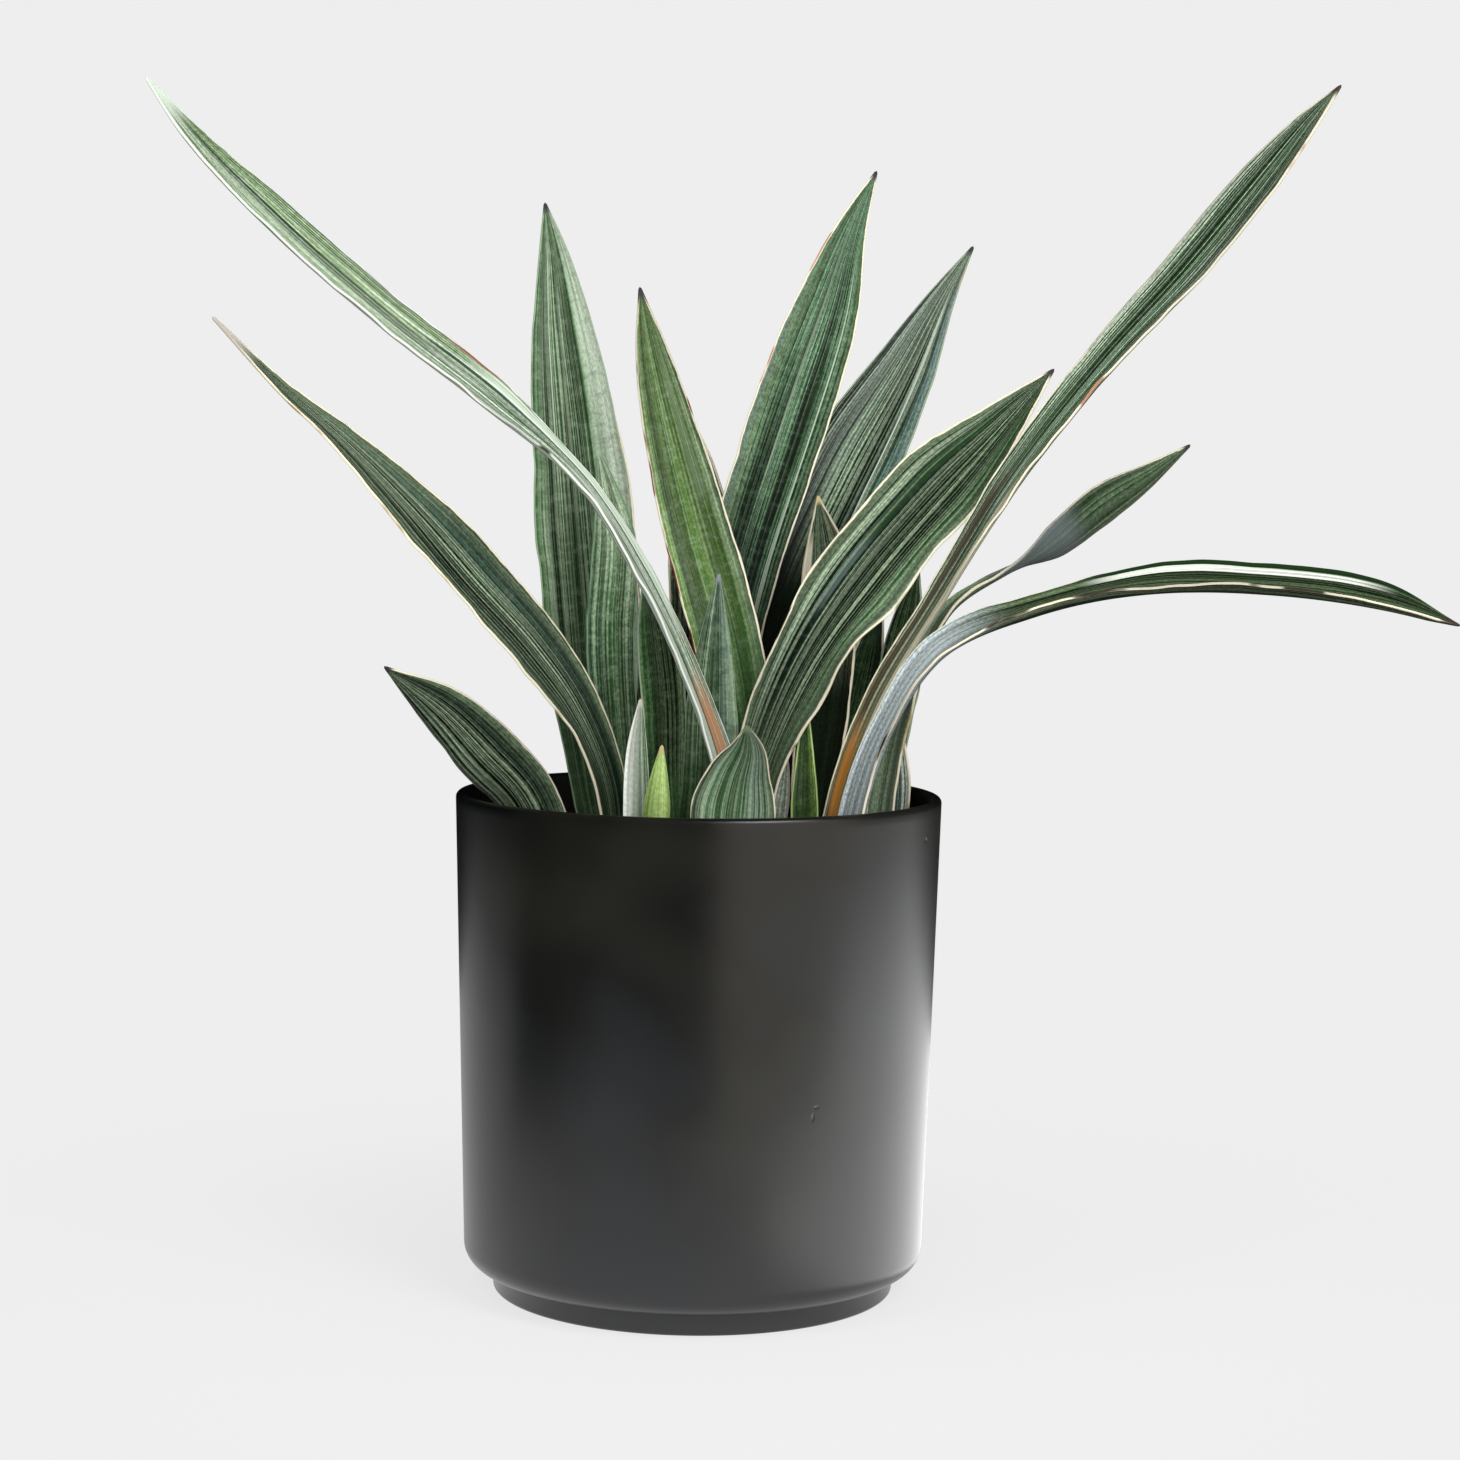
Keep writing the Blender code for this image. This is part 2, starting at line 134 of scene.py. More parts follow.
def maths(tree: bpy.types.NodeTree, operation: str, *values: object) -> bpy.types.Node:
    """Adds a math node.

    Args:
        tree: the node tree that it goes into.
        operation: what it works out.
        values: nodes, outputs or numbers, in the order of its sockets.

    Returns:
        The node.
    """
    return add(tree, "ShaderNodeMath", dict(enumerate(values)), operation=operation)


def ramp(
    tree: bpy.types.NodeTree,
    value: object,
    low: float,
    high: float,
    start: float = 0.0,
    end: float = 1.0,
    shape: str = "SMOOTHSTEP",
) -> bpy.types.Node:
    """A step from start to end as the value goes from low to high.

    Args:
        tree: the node tree that it goes into.
        value: the node or output that it reads.
        low: the value at the start.
        high: the value at the end.
        start: what it gives at the low value and beyond.
        end: what it gives at the high value and beyond.
        shape: SMOOTHSTEP or LINEAR.

    Returns:
        The node.
    """
    inputs = {"Value": value, "From Min": low, "From Max": high, "To Min": start, "To Max": end}
    return add(tree, "ShaderNodeMapRange", inputs, interpolation_type=shape)


def mixed(tree: bpy.types.NodeTree, share: object, first: object, second: object) -> bpy.types.NodeSocket:
    """Lays one colour over another.

    Args:
        tree: the node tree that it goes into.
        share: how fully the second one covers, from 0 to 1.
        first: the node or output of the colour below.
        second: that of the colour on top, or a hex value.

    Returns:
        The output of the mixed colour.
    """
    over = linear(second) if isinstance(second, str) else second
    return add(tree, "ShaderNodeMix", {0: share, 6: first, 7: over}, data_type="RGBA").outputs[2]


def painted(name: str) -> tuple:
    """Starts a material.

    Args:
        name: the material's name.

    Returns:
        The material, its node tree and its shader.
    """
    made = bpy.data.materials.new(name)
    made.use_nodes = True
    return made, made.node_tree, made.node_tree.nodes["Principled BSDF"]


# Objects


def meshed(name: str, points: list, faces: list) -> bpy.types.Mesh:
    """Makes a mesh.

    Args:
        name: its name.
        points: its points, in Blender's units.
        faces: the numbers of each face's points.

    Returns:
        The mesh.
    """
    mesh = bpy.data.meshes.new(name)
    mesh.from_pydata([tuple(point) for point in points], [], faces)
    return mesh


def tube(rings: int, count: int) -> list:
    """The faces of a tube of rings whose ends run together.

    Args:
        rings: number of rings.
        count: points on each. The two points after the last ring close the first and the last one.

    Returns:
        The faces, by the numbers of their points.
    """
    faces = [
        (k * count + i, k * count + (i + 1) % count, (k + 1) * count + (i + 1) % count, (k + 1) * count + i)
        for k in range(rings - 1)
        for i in range(count)
    ]
    top, foot = (rings - 1) * count, rings * count
    faces += [((i + 1) % count, i, foot) for i in range(count)]
    faces += [(top + i, top + (i + 1) % count, foot + 1) for i in range(count)]
    return faces


def placed(name: str, data: bpy.types.ID) -> bpy.types.Object:
    """A new object with that data, in the scene."""
    obj = bpy.data.objects.new(name, data)
    bpy.context.scene.collection.objects.link(obj)
    return obj


def add_piece(
    name: str, mesh: bpy.types.Mesh, finish: bpy.types.Material, slot: Slot, *nodes: str
) -> bpy.types.Object:
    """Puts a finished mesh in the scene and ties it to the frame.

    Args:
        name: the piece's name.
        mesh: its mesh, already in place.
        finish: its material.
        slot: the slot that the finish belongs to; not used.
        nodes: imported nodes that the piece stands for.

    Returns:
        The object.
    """
    obj = placed(name, mesh)
    mesh.materials.clear()
    mesh.materials.append(finish)
    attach(obj, "root")
    if nodes:
        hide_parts(*nodes)
    LOG.info("%s: %d faces", name, len(mesh.polygons))
    return obj


# Finishes


@dataclass(frozen=True)
class Stripe:
    """One strip of another colour that runs along a blade.

    Attributes:
        place: where its middle lies across the blade, from -1 to 1.
        width: its width as a share of half the blade.
        colour: its colour.
        strength: how fully it covers, from 0 to 1.
        start: share of the length where it begins.
        end: share of the length where it ends.
    """

    place: float
    width: float
    colour: str
    strength: float = 1.0
    start: float = -0.1
    end: float = 1.1

    FADE = 0.03  # of the length, at both ends


@dataclass(frozen=True)
class LeafFinish:
    """The living skin of one blade: fleshy green with a faint wax bloom, long pale veins and a cream margin.

    The eye gets fine lengthwise lines that meet at the tip, soft cross bands, and a satin sheen. Part of its
    colour is painted light: shade low down among the other blades, near-black shade on some feet, and sheen
    on a flank that catches light.

    Attributes:
        tones: colours across the hollow face, evenly spaced from the blade's first margin to its second. On
            some blades the paler flank is partly painted sheen, where that flank catches light.
        vein: the pale lines.
        shade: the dark lines.
        outer: colours across the outer face, or empty where it looks the same.
        foot: tint near the mix: colour, strength, and the shares of the length where it fades and is gone. A
            near-black foot is painted shade low among the other blades.
        head: tint near the tip: colour, strength, and the shares where it begins and is full.
        along: (share of the length, brightness) pairs, painted shade, since the skin is darker low down among
            the others.
        margin: the cream band along both margins, and its width.
        rim: the very edge of the margin, and how much of the margin is worn down to it.
        spine: the dry point of the tip, and its length.
        stripes: strips of their own colour.
        plain: the places towards the first and the second margin beyond which the lines fade out.
        lines: strength of the lines, from 0 to 1.
        bands: strength of the soft cross bands, from 0 to 1.
        mottle: strength of the small dabs, from 0 to 1.
        gloss: roughness of the wax.
    """

    tones: tuple
    vein: str
    shade: str
    outer: tuple = ()
    foot: tuple = ()
    head: tuple = ()
    along: tuple = ((0.2, 0.5), (0.45, 1.0))
    margin: tuple = ("#efe7cb", 0.7)
    rim: tuple = ("#8a7048", 0.15)
    spine: tuple = ("#4a4038", 7.0)
    stripes: tuple = ()
    plain: tuple = (-1.2, 1.2)
    lines: float = 0.7
    bands: float = 0.25
    mottle: float = 0.26
    gloss: float = 0.42

    IOR = 1.38  # of leaf wax
    SHEEN = 0.2  # specular level of the matt bloom
    RIB = 0.25 * MM  # reach of the ribs' relief
    WANDER = 0.35  # how far the borders between tones stray, as a share of half the blade
    SHIFT = (3.7, 1.3)  # how far one step of the seed moves the noise

    def material(self, name: str, seed: float, widest: float, length: float) -> bpy.types.Material:
        """Builds the material on the blade's own attributes.

        Args:
            name: the material's name.
            seed: moves the noise, so that no two blades match.
            widest: the blade's greatest width.
            length: the blade's length.

        Returns:
            The material.
        """
        made, tree, shader = painted(name)
        # blade holds the place across (-1 to 1), the millimetres along, and the share of the length
        blade = add(tree, "ShaderNodeAttribute", attribute_name="blade").outputs["Vector"]
        side, _, share = add(tree, "ShaderNodeSeparateXYZ", {0: blade}).outputs
        edge = add(tree, "ShaderNodeAttribute", attribute_name="edge").outputs["Fac"]
        outside = add(tree, "ShaderNodeAttribute", attribute_name="outside").outputs["Fac"]

        def strands(width: float, reach: float, layer: float, detail: float = 2.0) -> bpy.types.Node:
            """Noise drawn out along the blade, with features of that width and reach in millimetres."""
            shift = (seed * self.SHIFT[0] + layer, seed * self.SHIFT[1] - layer, 0.0)
            inputs = {"Vector": blade, "Scale": (widest / 2 / width, 1 / reach, 0.0), "Location": shift}
            inputs = {"Vector": add(tree, "ShaderNodeMapping", inputs), "Scale": 1.0, "Detail": detail}
            return add(tree, "ShaderNodeTexNoise", {**inputs, "Roughness": 0.55}, noise_dimensions="2D")

        def step(*values: object) -> bpy.types.Node:
            """A smooth ramp of this tree."""
            return ramp(tree, *values)

        def times(first: object, second: object) -> bpy.types.Node:
            """The product of two values."""
            return maths(tree, "MULTIPLY", first, second)

        def gap(value: object, centre: float) -> bpy.types.Node:
            """How far a value lies from a centre."""
            return maths(tree, "ABSOLUTE", maths(tree, "SUBTRACT", value, centre))

        broad = strands(6.0, 260.0, 1.0)
        wide = strands(2.8, 420.0, 2.0)
        lines = strands(1.0, 420.0, 3.0)
        hairs = strands(0.5, 160.0, 4.0, 1.0)
        bands = strands(8.0, 4.0, 5.0, 3.0)
        speckle = strands(1.1, 1.6, 6.0, 3.0)
        # the tones wander a little, so their borders aren't ruled
        place = maths(tree, "MULTIPLY_ADD", maths(tree, "SUBTRACT", broad, 0.5), self.WANDER, side)
        across = ramp(tree, place, -1.0, 1.0, shape="LINEAR")

        def tones(colours: tuple) -> bpy.types.NodeSocket:
            """The colours spread evenly from margin to margin."""
            stops = tuple((i / (len(colours) - 1), colour) for i, colour in enumerate(colours))
            return add(tree, "ShaderNodeValToRGB", {0: across}, stops=stops).outputs[0]

        skin = tones(self.tones)

        def lay(cover: object, colour: object) -> None:
            """Lays a colour over the skin."""
            nonlocal skin
            skin = mixed(tree, cover, skin, colour)

        if self.outer:
            lay(step(outside, 0.4, 0.6), tones(self.outer))
        if self.head:
            colour, strength, begins, full = self.head
            lay(step(share, begins, full, 0.0, strength), colour)
        # stripes and lines, from the widest to the hair-fine ones, all fainter on a plain flank
        first, second = self.plain
        inside = times(
            step(place, first - 0.12, first + 0.12, 0.25),
            step(place, second + 0.12, second - 0.12, 0.25),
        )

        def lined(value: object, low: float, high: float, strength: float, colour: str) -> None:
            """Lays lines of one colour over the skin where the value passes from low to high."""
            lay(times(step(value, low, high, 0.0, strength * self.lines), inside), colour)

        lined(wide, 0.485, 0.545, 0.95, self.shade)
        lined(wide, 0.46, 0.39, 0.45, self.vein)
        lined(lines, 0.50, 0.56, 0.95, self.shade)
        lined(lines, 0.46, 0.40, 0.7, self.vein)
        # crisp pale veins run where drawn-out noise crosses its middle
        lined(gap(strands(2.4, 500.0, 7.0, 1.0), 0.5), 0.030, 0.010, 0.9, self.vein)
        lay(step(bands, 0.5, 0.66, 0.0, self.bands), self.vein)
        lay(step(bands, 0.48, 0.34, 0.0, self.bands), self.shade)
        # the foot's tint; a near-black one is painted shade low among the other blades
        if self.foot:
            colour, strength, fades, gone = self.foot
            lay(step(share, gone, fades, 0.0, strength), colour)
        dabs = step(speckle, 0.35, 0.65, 1 - self.mottle, 1 + self.mottle)
        light = times(step(broad, 0.3, 0.7, 0.55, 1.45), dabs)
        skin = add(tree, "ShaderNodeVectorMath", {0: skin, 3: light}, operation="SCALE").outputs[0]
        # the cream band keeps its width in millimetres and has a ragged inner border
        colour, width = self.margin
        border = maths(tree, "MULTIPLY_ADD", strands(3.0, 9.0, 8.0), 1.4 * width, edge)
        lay(step(border, 1.9 * width, 1.45 * width), colour)
        colour, wear = self.rim
        worn = step(strands(9.0, 30.0, 9.0), 0.66 - 0.3 * wear, 0.74 - 0.3 * wear)
        lay(times(step(edge, 0.5, 0.2), worn), colour)
        for strip in self.stripes:
            near = step(gap(place, strip.place), strip.width * 0.65, strip.width * 0.35, 0.0, strip.strength)
            begun = step(share, strip.start - strip.FADE, strip.start + strip.FADE)
            ended = step(share, strip.end + strip.FADE, strip.end - strip.FADE)
            lay(times(near, times(begun, ended)), strip.colour)
        lined(hairs, 0.46, 0.38, 0.6, self.shade)
        # painted shade: the brightness along the blade, lower where it stands low down among the others
        painted_shade = add(tree, "ShaderNodeValToRGB", {0: share}, stops=self.along)
        skin = add(tree, "ShaderNodeVectorMath", {0: skin, 1: painted_shade}, operation="MULTIPLY").outputs[0]
        colour, reach = self.spine
        lay(step(share, 1 - reach / length, 1 - 0.25 * reach / length), colour)
        tree.links.new(skin, shader.inputs["Base Color"])
        wax = step(bands, 0.3, 0.7, self.gloss - 0.06, self.gloss + 0.1)
        tree.links.new(wax.outputs[0], shader.inputs["Roughness"])
        shader.inputs["IOR"].default_value = self.IOR
        shader.inputs["Specular IOR Level"].default_value = self.SHEEN
        height = maths(tree, "MULTIPLY_ADD", lines, 0.6, times(hairs, 0.4))
        bump = add(tree, "ShaderNodeBump", {"Strength": 0.5, "Distance": self.RIB, "Height": height})
        tree.links.new(bump.outputs[0], shader.inputs["Normal"])
        return made


@dataclass(frozen=True)
class GlazedStoneware:
    """Charcoal satin glaze on turned stoneware: nearly black at the lip, and paler near the foot, where light
    from the floor is painted in.

    The eye gets a soft sheen, faint warm and cool clouds, and a few small dents.

    Attributes:
        deep: the glaze's own tone, nearly black, which holds up to the lip.
        warm: the warmer clouds.
        cool: the bluish clouds.
        painted_bounce: the paler tone low on the body, painted light from the floor.
        dents: (x, z, half width, half height) of each dent on the front, in millimetres.
    """

    deep: str = "#0c0c0b"
    warm: str = "#1d1d18"
    cool: str = "#121519"
    painted_bounce: str = "#252628"
    dents: tuple = (
        (47.0, 88.0, 1.0, 2.6), (48.5, 92.0, 1.6, 1.1), (91.0, 192.0, 1.2, 2.0), (40.0, 15.0, 3.0, 1.0),
    )

    CLOUDS, PATCHES, GRAIN = 11.0, 6.0, 1400.0  # features to the metre
    IOR = 1.5  # of glaze, which is glass
    DENTED_RADIUS = 98.5  # of the body, where the dents lie
    RELIEF = 0.6 * MM

    def material(self) -> bpy.types.Material:
        """Builds the glaze on Object coordinates."""
        made, tree, shader = painted("satin_stoneware_glaze")
        place = add(tree, "ShaderNodeTexCoord").outputs["Object"]
        clouds, patches, grain = (
            add(tree, "ShaderNodeTexNoise", {"Vector": place, "Scale": scale, "Detail": detail})
            for scale, detail in ((self.CLOUDS, 2.0), (self.PATCHES, 1.0), (self.GRAIN, 2.0))
        )
        stops = ((0.36, self.cool), (0.5, self.deep), (0.66, self.warm))
        tone = add(tree, "ShaderNodeValToRGB", {0: clouds}, stops=stops)
        # painted light from the floor: the glaze turns paler from 125 mm above the table down to 45 mm, on an
        # uneven border
        height = add(tree, "ShaderNodeSeparateXYZ", {0: place}).outputs[2]
        low = ramp(tree, maths(tree, "MULTIPLY_ADD", patches, 0.06, height), 0.125, 0.045, shape="LINEAR")
        tree.links.new(mixed(tree, low, tone, self.painted_bounce), shader.inputs["Base Color"])
        rough = ramp(tree, patches, 0.3, 0.7, 0.30, 0.37, "LINEAR")
        tree.links.new(rough.outputs[0], shader.inputs["Roughness"])
        shader.inputs["IOR"].default_value = self.IOR
        relief = maths(tree, "MULTIPLY", grain, 0.06)
        for x, z, wide, tall in self.dents:
            middle = tuple(metres((x, -math.sqrt(self.DENTED_RADIUS**2 - x**2), z)))
            off = add(tree, "ShaderNodeVectorMath", {0: place, 1: middle}, operation="SUBTRACT")
            size = (1 / (wide * MM), 0.3 / MM, 1 / (tall * MM))
            away = add(tree, "ShaderNodeVectorMath", {0: off, 1: size}, operation="MULTIPLY")
            length = add(tree, "ShaderNodeVectorMath", {0: away}, operation="LENGTH").outputs["Value"]
            relief = maths(tree, "ADD", relief, ramp(tree, length, 0.2, 1.0))
        bump = add(tree, "ShaderNodeBump", {"Strength": 0.6, "Distance": self.RELIEF, "Height": relief})
        tree.links.new(bump.outputs[0], shader.inputs["Normal"])
        return made


@dataclass(frozen=True)
class BarkMix:
    """Peat and bark compost: dark, matt and crumbly, each piece a little different in tone.

    Attributes:
        name: the material's name.
        tones: hex colours from the darkest to the palest bit.
        grain: size of the mottling on one bit.
    """

    name: str
    tones: tuple
    grain: float

    BITS = 160.0  # features to the metre, so that neighbouring bits differ
    ROUGHNESS = 0.93
    SHEEN = 0.25
    RELIEF = 0.8 * MM

    def material(self) -> bpy.types.Material:
        """Builds the compost on Object coordinates."""
        made, tree, shader = painted(self.name)
        place = add(tree, "ShaderNodeTexCoord").outputs["Object"]
        bits = add(tree, "ShaderNodeTexNoise", {"Vector": place, "Scale": self.BITS, "Detail": 3.0})
        inputs = {"Vector": place, "Scale": 1 / MM / self.grain, "Detail": 4.0, "Roughness": 0.7}
        fine = add(tree, "ShaderNodeTexNoise", inputs)
        both = maths(tree, "MULTIPLY_ADD", bits, 0.6, maths(tree, "MULTIPLY", fine, 0.4))
        last = len(self.tones) - 1
        stops = tuple((0.36 + 0.3 * i / last, colour) for i, colour in enumerate(self.tones))
        tone = add(tree, "ShaderNodeValToRGB", {0: both}, stops=stops)
        tree.links.new(tone.outputs[0], shader.inputs["Base Color"])
        shader.inputs["Roughness"].default_value = self.ROUGHNESS
        shader.inputs["Specular IOR Level"].default_value = self.SHEEN
        bump = add(tree, "ShaderNodeBump", {"Strength": 0.8, "Distance": self.RELIEF, "Height": fine})
        tree.links.new(bump.outputs[0], shader.inputs["Normal"])
        return made


# Blades


@dataclass(frozen=True)
class Blade:
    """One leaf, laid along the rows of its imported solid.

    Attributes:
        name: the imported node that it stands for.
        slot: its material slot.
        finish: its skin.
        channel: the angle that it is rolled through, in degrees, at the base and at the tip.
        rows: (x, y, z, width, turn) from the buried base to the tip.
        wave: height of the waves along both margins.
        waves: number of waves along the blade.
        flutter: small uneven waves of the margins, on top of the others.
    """

    name: str
    slot: Slot
    finish: LeafFinish
    channel: tuple
    rows: tuple
    wave: float = 0.0
    waves: float = 0.0
    flutter: float = 0.35

    STEP = 2.4  # between rings along the blade
    INNER = 23  # points across one face, without those that round the margins
    ROUND = (30.0, 60.0)  # where points stand on a rounded margin, in degrees
    THICK_MIDDLE = 2.6
    THICK_EDGE = 0.9
    SWELL = 0.12  # thickness that the middle gains with the width, until it is full
    MOST_EDGE = 0.45  # most of each half that the rounded margin may take up
    TIP_WIDTH = 1.4
    STEADY = (20.0, 14.0)  # widths under which the waves and the small waves die down
    FLUTTERS = ((41.0, 0.0), (23.0, 1.9), (13.5, 4.1))  # length and phase of the small waves
    BASE_CAP, TIP_CAP = 0.2, 0.9  # how far the points that close the ends stand beyond them
    SEED_STEP = 1.7  # from one blade to the next

    def length(self) -> float:
        """The length along the rows."""
        return float(np.linalg.norm(np.diff(np.array(self.rows, float)[:, :3], axis=0), axis=1).sum())

    def stations(self) -> np.ndarray:
        """Rows sampled finely along the same smooth curve that the solid is lofted on.

        Returns:
            One row (x, y, z, width, turn) for each ring.
        """
        rows = np.array(self.rows, float)
        along = np.concatenate([[0.0], np.cumsum(np.linalg.norm(np.diff(rows[:, :3], axis=0), axis=1))])
        slopes = np.gradient(rows, along, axis=0)
        widths = rows[:, 3]
        for i in range(1, len(rows) - 1):
            if (widths[i] - widths[i - 1]) * (widths[i + 1] - widths[i]) <= 0:
                slopes[i, 3] = 0.0
        places = np.linspace(0.0, along[-1], round(along[-1] / self.STEP) + 1)
        span = np.clip(np.searchsorted(along, places, side="right") - 1, 0, len(along) - 2)
        length = (along[span + 1] - along[span])[:, None]
        t = ((places - along[span]) / length[:, 0])[:, None]
        start = (1 + 2 * t) * (1 - t) ** 2
        return (
            start * rows[span]
            + t * (1 - t) ** 2 * length * slopes[span]
            + (1 - start) * rows[span + 1]
            + t**2 * (t - 1) * length * slopes[span + 1]
        )

    def ripple(self, across: np.ndarray, width: float, share: float, seed: float) -> np.ndarray:
        """How far the waves lift each point of a ring.

        Args:
            across: the points' places across the blade, from -1 to 1.
            width: the blade's width there.
            share: how far along the blade the ring is, from 0 to 1.
            seed: moves the small waves.

        Returns:
            One height for each point, most at the margins and none at the ends of the blade.
        """
        swell = self.wave * math.sin(math.pi * share) ** 2 * min(1.0, width / self.STEADY[0])
        small = self.flutter * math.sin(math.pi * share) * min(1.0, width / self.STEADY[1])
        lift = swell * across * np.abs(across) * np.sin(2 * math.pi * self.waves * share + 0.9 * across)
        place = share * self.length()
        longest = self.FLUTTERS[0][0]
        for pace, phase in self.FLUTTERS:
            beat = np.sin(2 * math.pi * place / pace + phase + 2.1 * np.sign(across) + seed)
            lift += small * np.abs(across) ** 3 * (pace / longest) * beat
        return lift

    def ring(self, row: np.ndarray, tangent: np.ndarray, share: float, seed: float) -> tuple:
        """One closed ring of the blade.

        Args:
            row: (x, y, z, width, turn) of the station.
            tangent: the direction of the blade there.
            share: how far along the blade it is, from 0 to 1.
            seed: moves the small waves.

        Returns:
            The points, the place across each, its distance from the margin, and 1 on the outer face.
        """
        side = np.cross(tangent, (0.0, -1.0, 0.0))
        side /= np.linalg.norm(side)
        face = np.cross(side, tangent)
        turn = math.radians(row[4])
        side, face = (
            side * math.cos(turn) - face * math.sin(turn),
            face * math.cos(turn) + side * math.sin(turn),
        )
        width = max(row[3], self.TIP_WIDTH)
        half_angle = math.radians(self.channel[0] + (self.channel[1] - self.channel[0]) * share) / 2
        radius = width / (2 * half_angle)
        middle = min(self.THICK_MIDDLE, self.THICK_EDGE + width * self.SWELL) / 2
        edge = min(self.MOST_EDGE, self.THICK_EDGE / width)
        bend = np.sin(np.radians(self.ROUND))
        inner = np.linspace(-1 + edge, 1 - edge, self.INNER)
        across = np.concatenate([[-1.0], -1 + edge * (1 - bend[::-1]), inner, 1 - edge * (1 - bend), [1.0]])
        flat = middle + (self.THICK_EDGE / 2 - middle) * np.minimum(np.abs(across), 1 - edge) ** 2
        round_off = np.clip((np.abs(across) - (1 - edge)) / edge, 0.0, 1.0)
        half = flat * np.sqrt(1 - round_off**2)
        slope = half_angle * across
        normal = np.outer(np.cos(slope), face) - np.outer(np.sin(slope), side)
        over, depth = radius * np.sin(slope), radius * (1 - np.cos(slope))
        spine = row[:3] + np.outer(over, side) + np.outer(depth, face)
        spine += normal * self.ripple(across, width, share, seed)[:, None]
        back = spine - normal * half[:, None]
        points = np.concatenate([spine + normal * half[:, None], back[-2:0:-1]])
        places = np.concatenate([across, across[-2:0:-1]])
        outer = np.concatenate([np.zeros(len(across)), np.ones(len(across) - 2)])
        outer[[0, len(across) - 1]] = 0.5
        return points, places, (1 - np.abs(places)) * width / 2, outer

    def build(self, number: int) -> bpy.types.Object:
        """Skins the rings into one closed blade and dresses it.

        Args:
            number: the blade's place in the plant, which seeds its noise.

        Returns:
            The object.
        """
        rows = self.stations()
        tangents = np.gradient(rows[:, :3], axis=0)
        tangents /= np.linalg.norm(tangents, axis=1)[:, None]
        shares = np.linspace(0.0, 1.0, len(rows))
        seed = number * self.SEED_STEP
        rings = [self.ring(*place, seed) for place in zip(rows, tangents, shares)]
        length = self.length()
        points = [point for ring in rings for point in ring[0]]
        points += [rows[0, :3] - tangents[0] * self.BASE_CAP, rows[-1, :3] + tangents[-1] * self.TIP_CAP]
        mesh = meshed(self.name + "_skin", metres(points), tube(len(rings), len(rings[0][0])))
        blade = [(place, share * length, share) for ring, share in zip(rings, shares) for place in ring[1]]
        blade += [(0.0, 0.0, 0.0), (0.0, length, 1.0)]
        edge = [value for ring in rings for value in ring[2]] + [5.0, 5.0]
        outside = [value for ring in rings for value in ring[3]] + [0.0, 0.0]
        for name, kind, key, values in (
            ("blade", "FLOAT_VECTOR", "vector", blade),
            ("edge", "FLOAT", "value", edge),
            ("outside", "FLOAT", "value", outside),
        ):
            layer = mesh.attributes.new(name, kind, "POINT")
            layer.data.foreach_set(key, np.array(values, np.float32).ravel())
        shape = bmesh.new()
        shape.from_mesh(mesh)
        bmesh.ops.recalc_face_normals(shape, faces=shape.faces)
        shape.to_mesh(mesh)
        shape.free()
        mesh.shade_smooth()
        widest = max(row[3] for row in self.rows)
        finish = self.finish.material(self.name.replace("leaf_", "leaf_skin_"), float(number), widest, length)
        return add_piece(self.name + "_skin", mesh, finish, self.slot, self.name)


class Tone(str, Enum):
    """Colours that the blades share, from the deepest lines to the palest bloom."""

    NIGHT = "#0c160a"
    PINE = "#1c3418"
    FOREST = "#30502c"
    LEAF = "#466c40"
    GRASS = "#66803e"
    LIME = "#84a054"
    STRAW_GREEN = "#b0c880"
    DEEP_TEAL = "#20382e"
    TEAL = "#406258"
    STEEL = "#6a7e78"
    JADE = "#6a8a6c"
    OLIVE_GREY = "#5c6c50"
    SAGE = "#92a488"
    BLOOM = "#b6c4b0"
    SILVER = "#d0dccc"
    PEARL = "#e6ebe0"
    CREAM = "#efe6cc"
    STRAW = "#b8a878"
    RUST = "#8a4428"
    AMBER = "#c07c30"
    BLUSH = "#c08a68"
    BARK = "#463a30"
    CHAR = "#3a383a"
    DRY = "#b8b0a4"
    SLATE = "#7c8488"
    MIST = "#aab4b6"


# Skins of the single blades: tones run from the first margin to the second, and lengths are shares

ARCHING_LEFT = LeafFinish(
    (Tone.SAGE, Tone.SAGE, Tone.BLOOM, Tone.SAGE, Tone.LIME), Tone.SILVER, Tone.FOREST,
    outer=(Tone.BLOOM, Tone.BLOOM), head=(Tone.LIME, 0.6, 0.5, 0.85), along=((0.2, 0.8), (0.5, 1.0)),
    margin=(Tone.PEARL, 0.6), rim=(Tone.BARK, 0.05), spine=(Tone.SILVER, 26.0), lines=0.85, bands=0.1,
    stripes=(
        Stripe(0.5, 0.13, Tone.DEEP_TEAL, 0.9, 0.3, 0.66), Stripe(0.74, 0.3, Tone.SILVER, 0.85, 0.3, 0.6),
        Stripe(0.0, 0.5, Tone.SILVER, 0.6, 0.3, 0.48), Stripe(-0.75, 0.14, Tone.PEARL, 0.7, 0.35, 0.8),
        Stripe(-0.55, 0.7, Tone.SILVER, 0.85, 0.0, 0.36), Stripe(0.3, 0.85, Tone.BLUSH, 0.9, 0.0, 0.24),
        Stripe(-0.1, 0.12, Tone.BARK, 0.8, 0.05, 0.42), Stripe(0.86, 0.16, Tone.BARK, 0.7, 0.05, 0.3),
        Stripe(0.97, 0.14, Tone.RUST, 0.95, 0.585, 0.635),
    ),
)
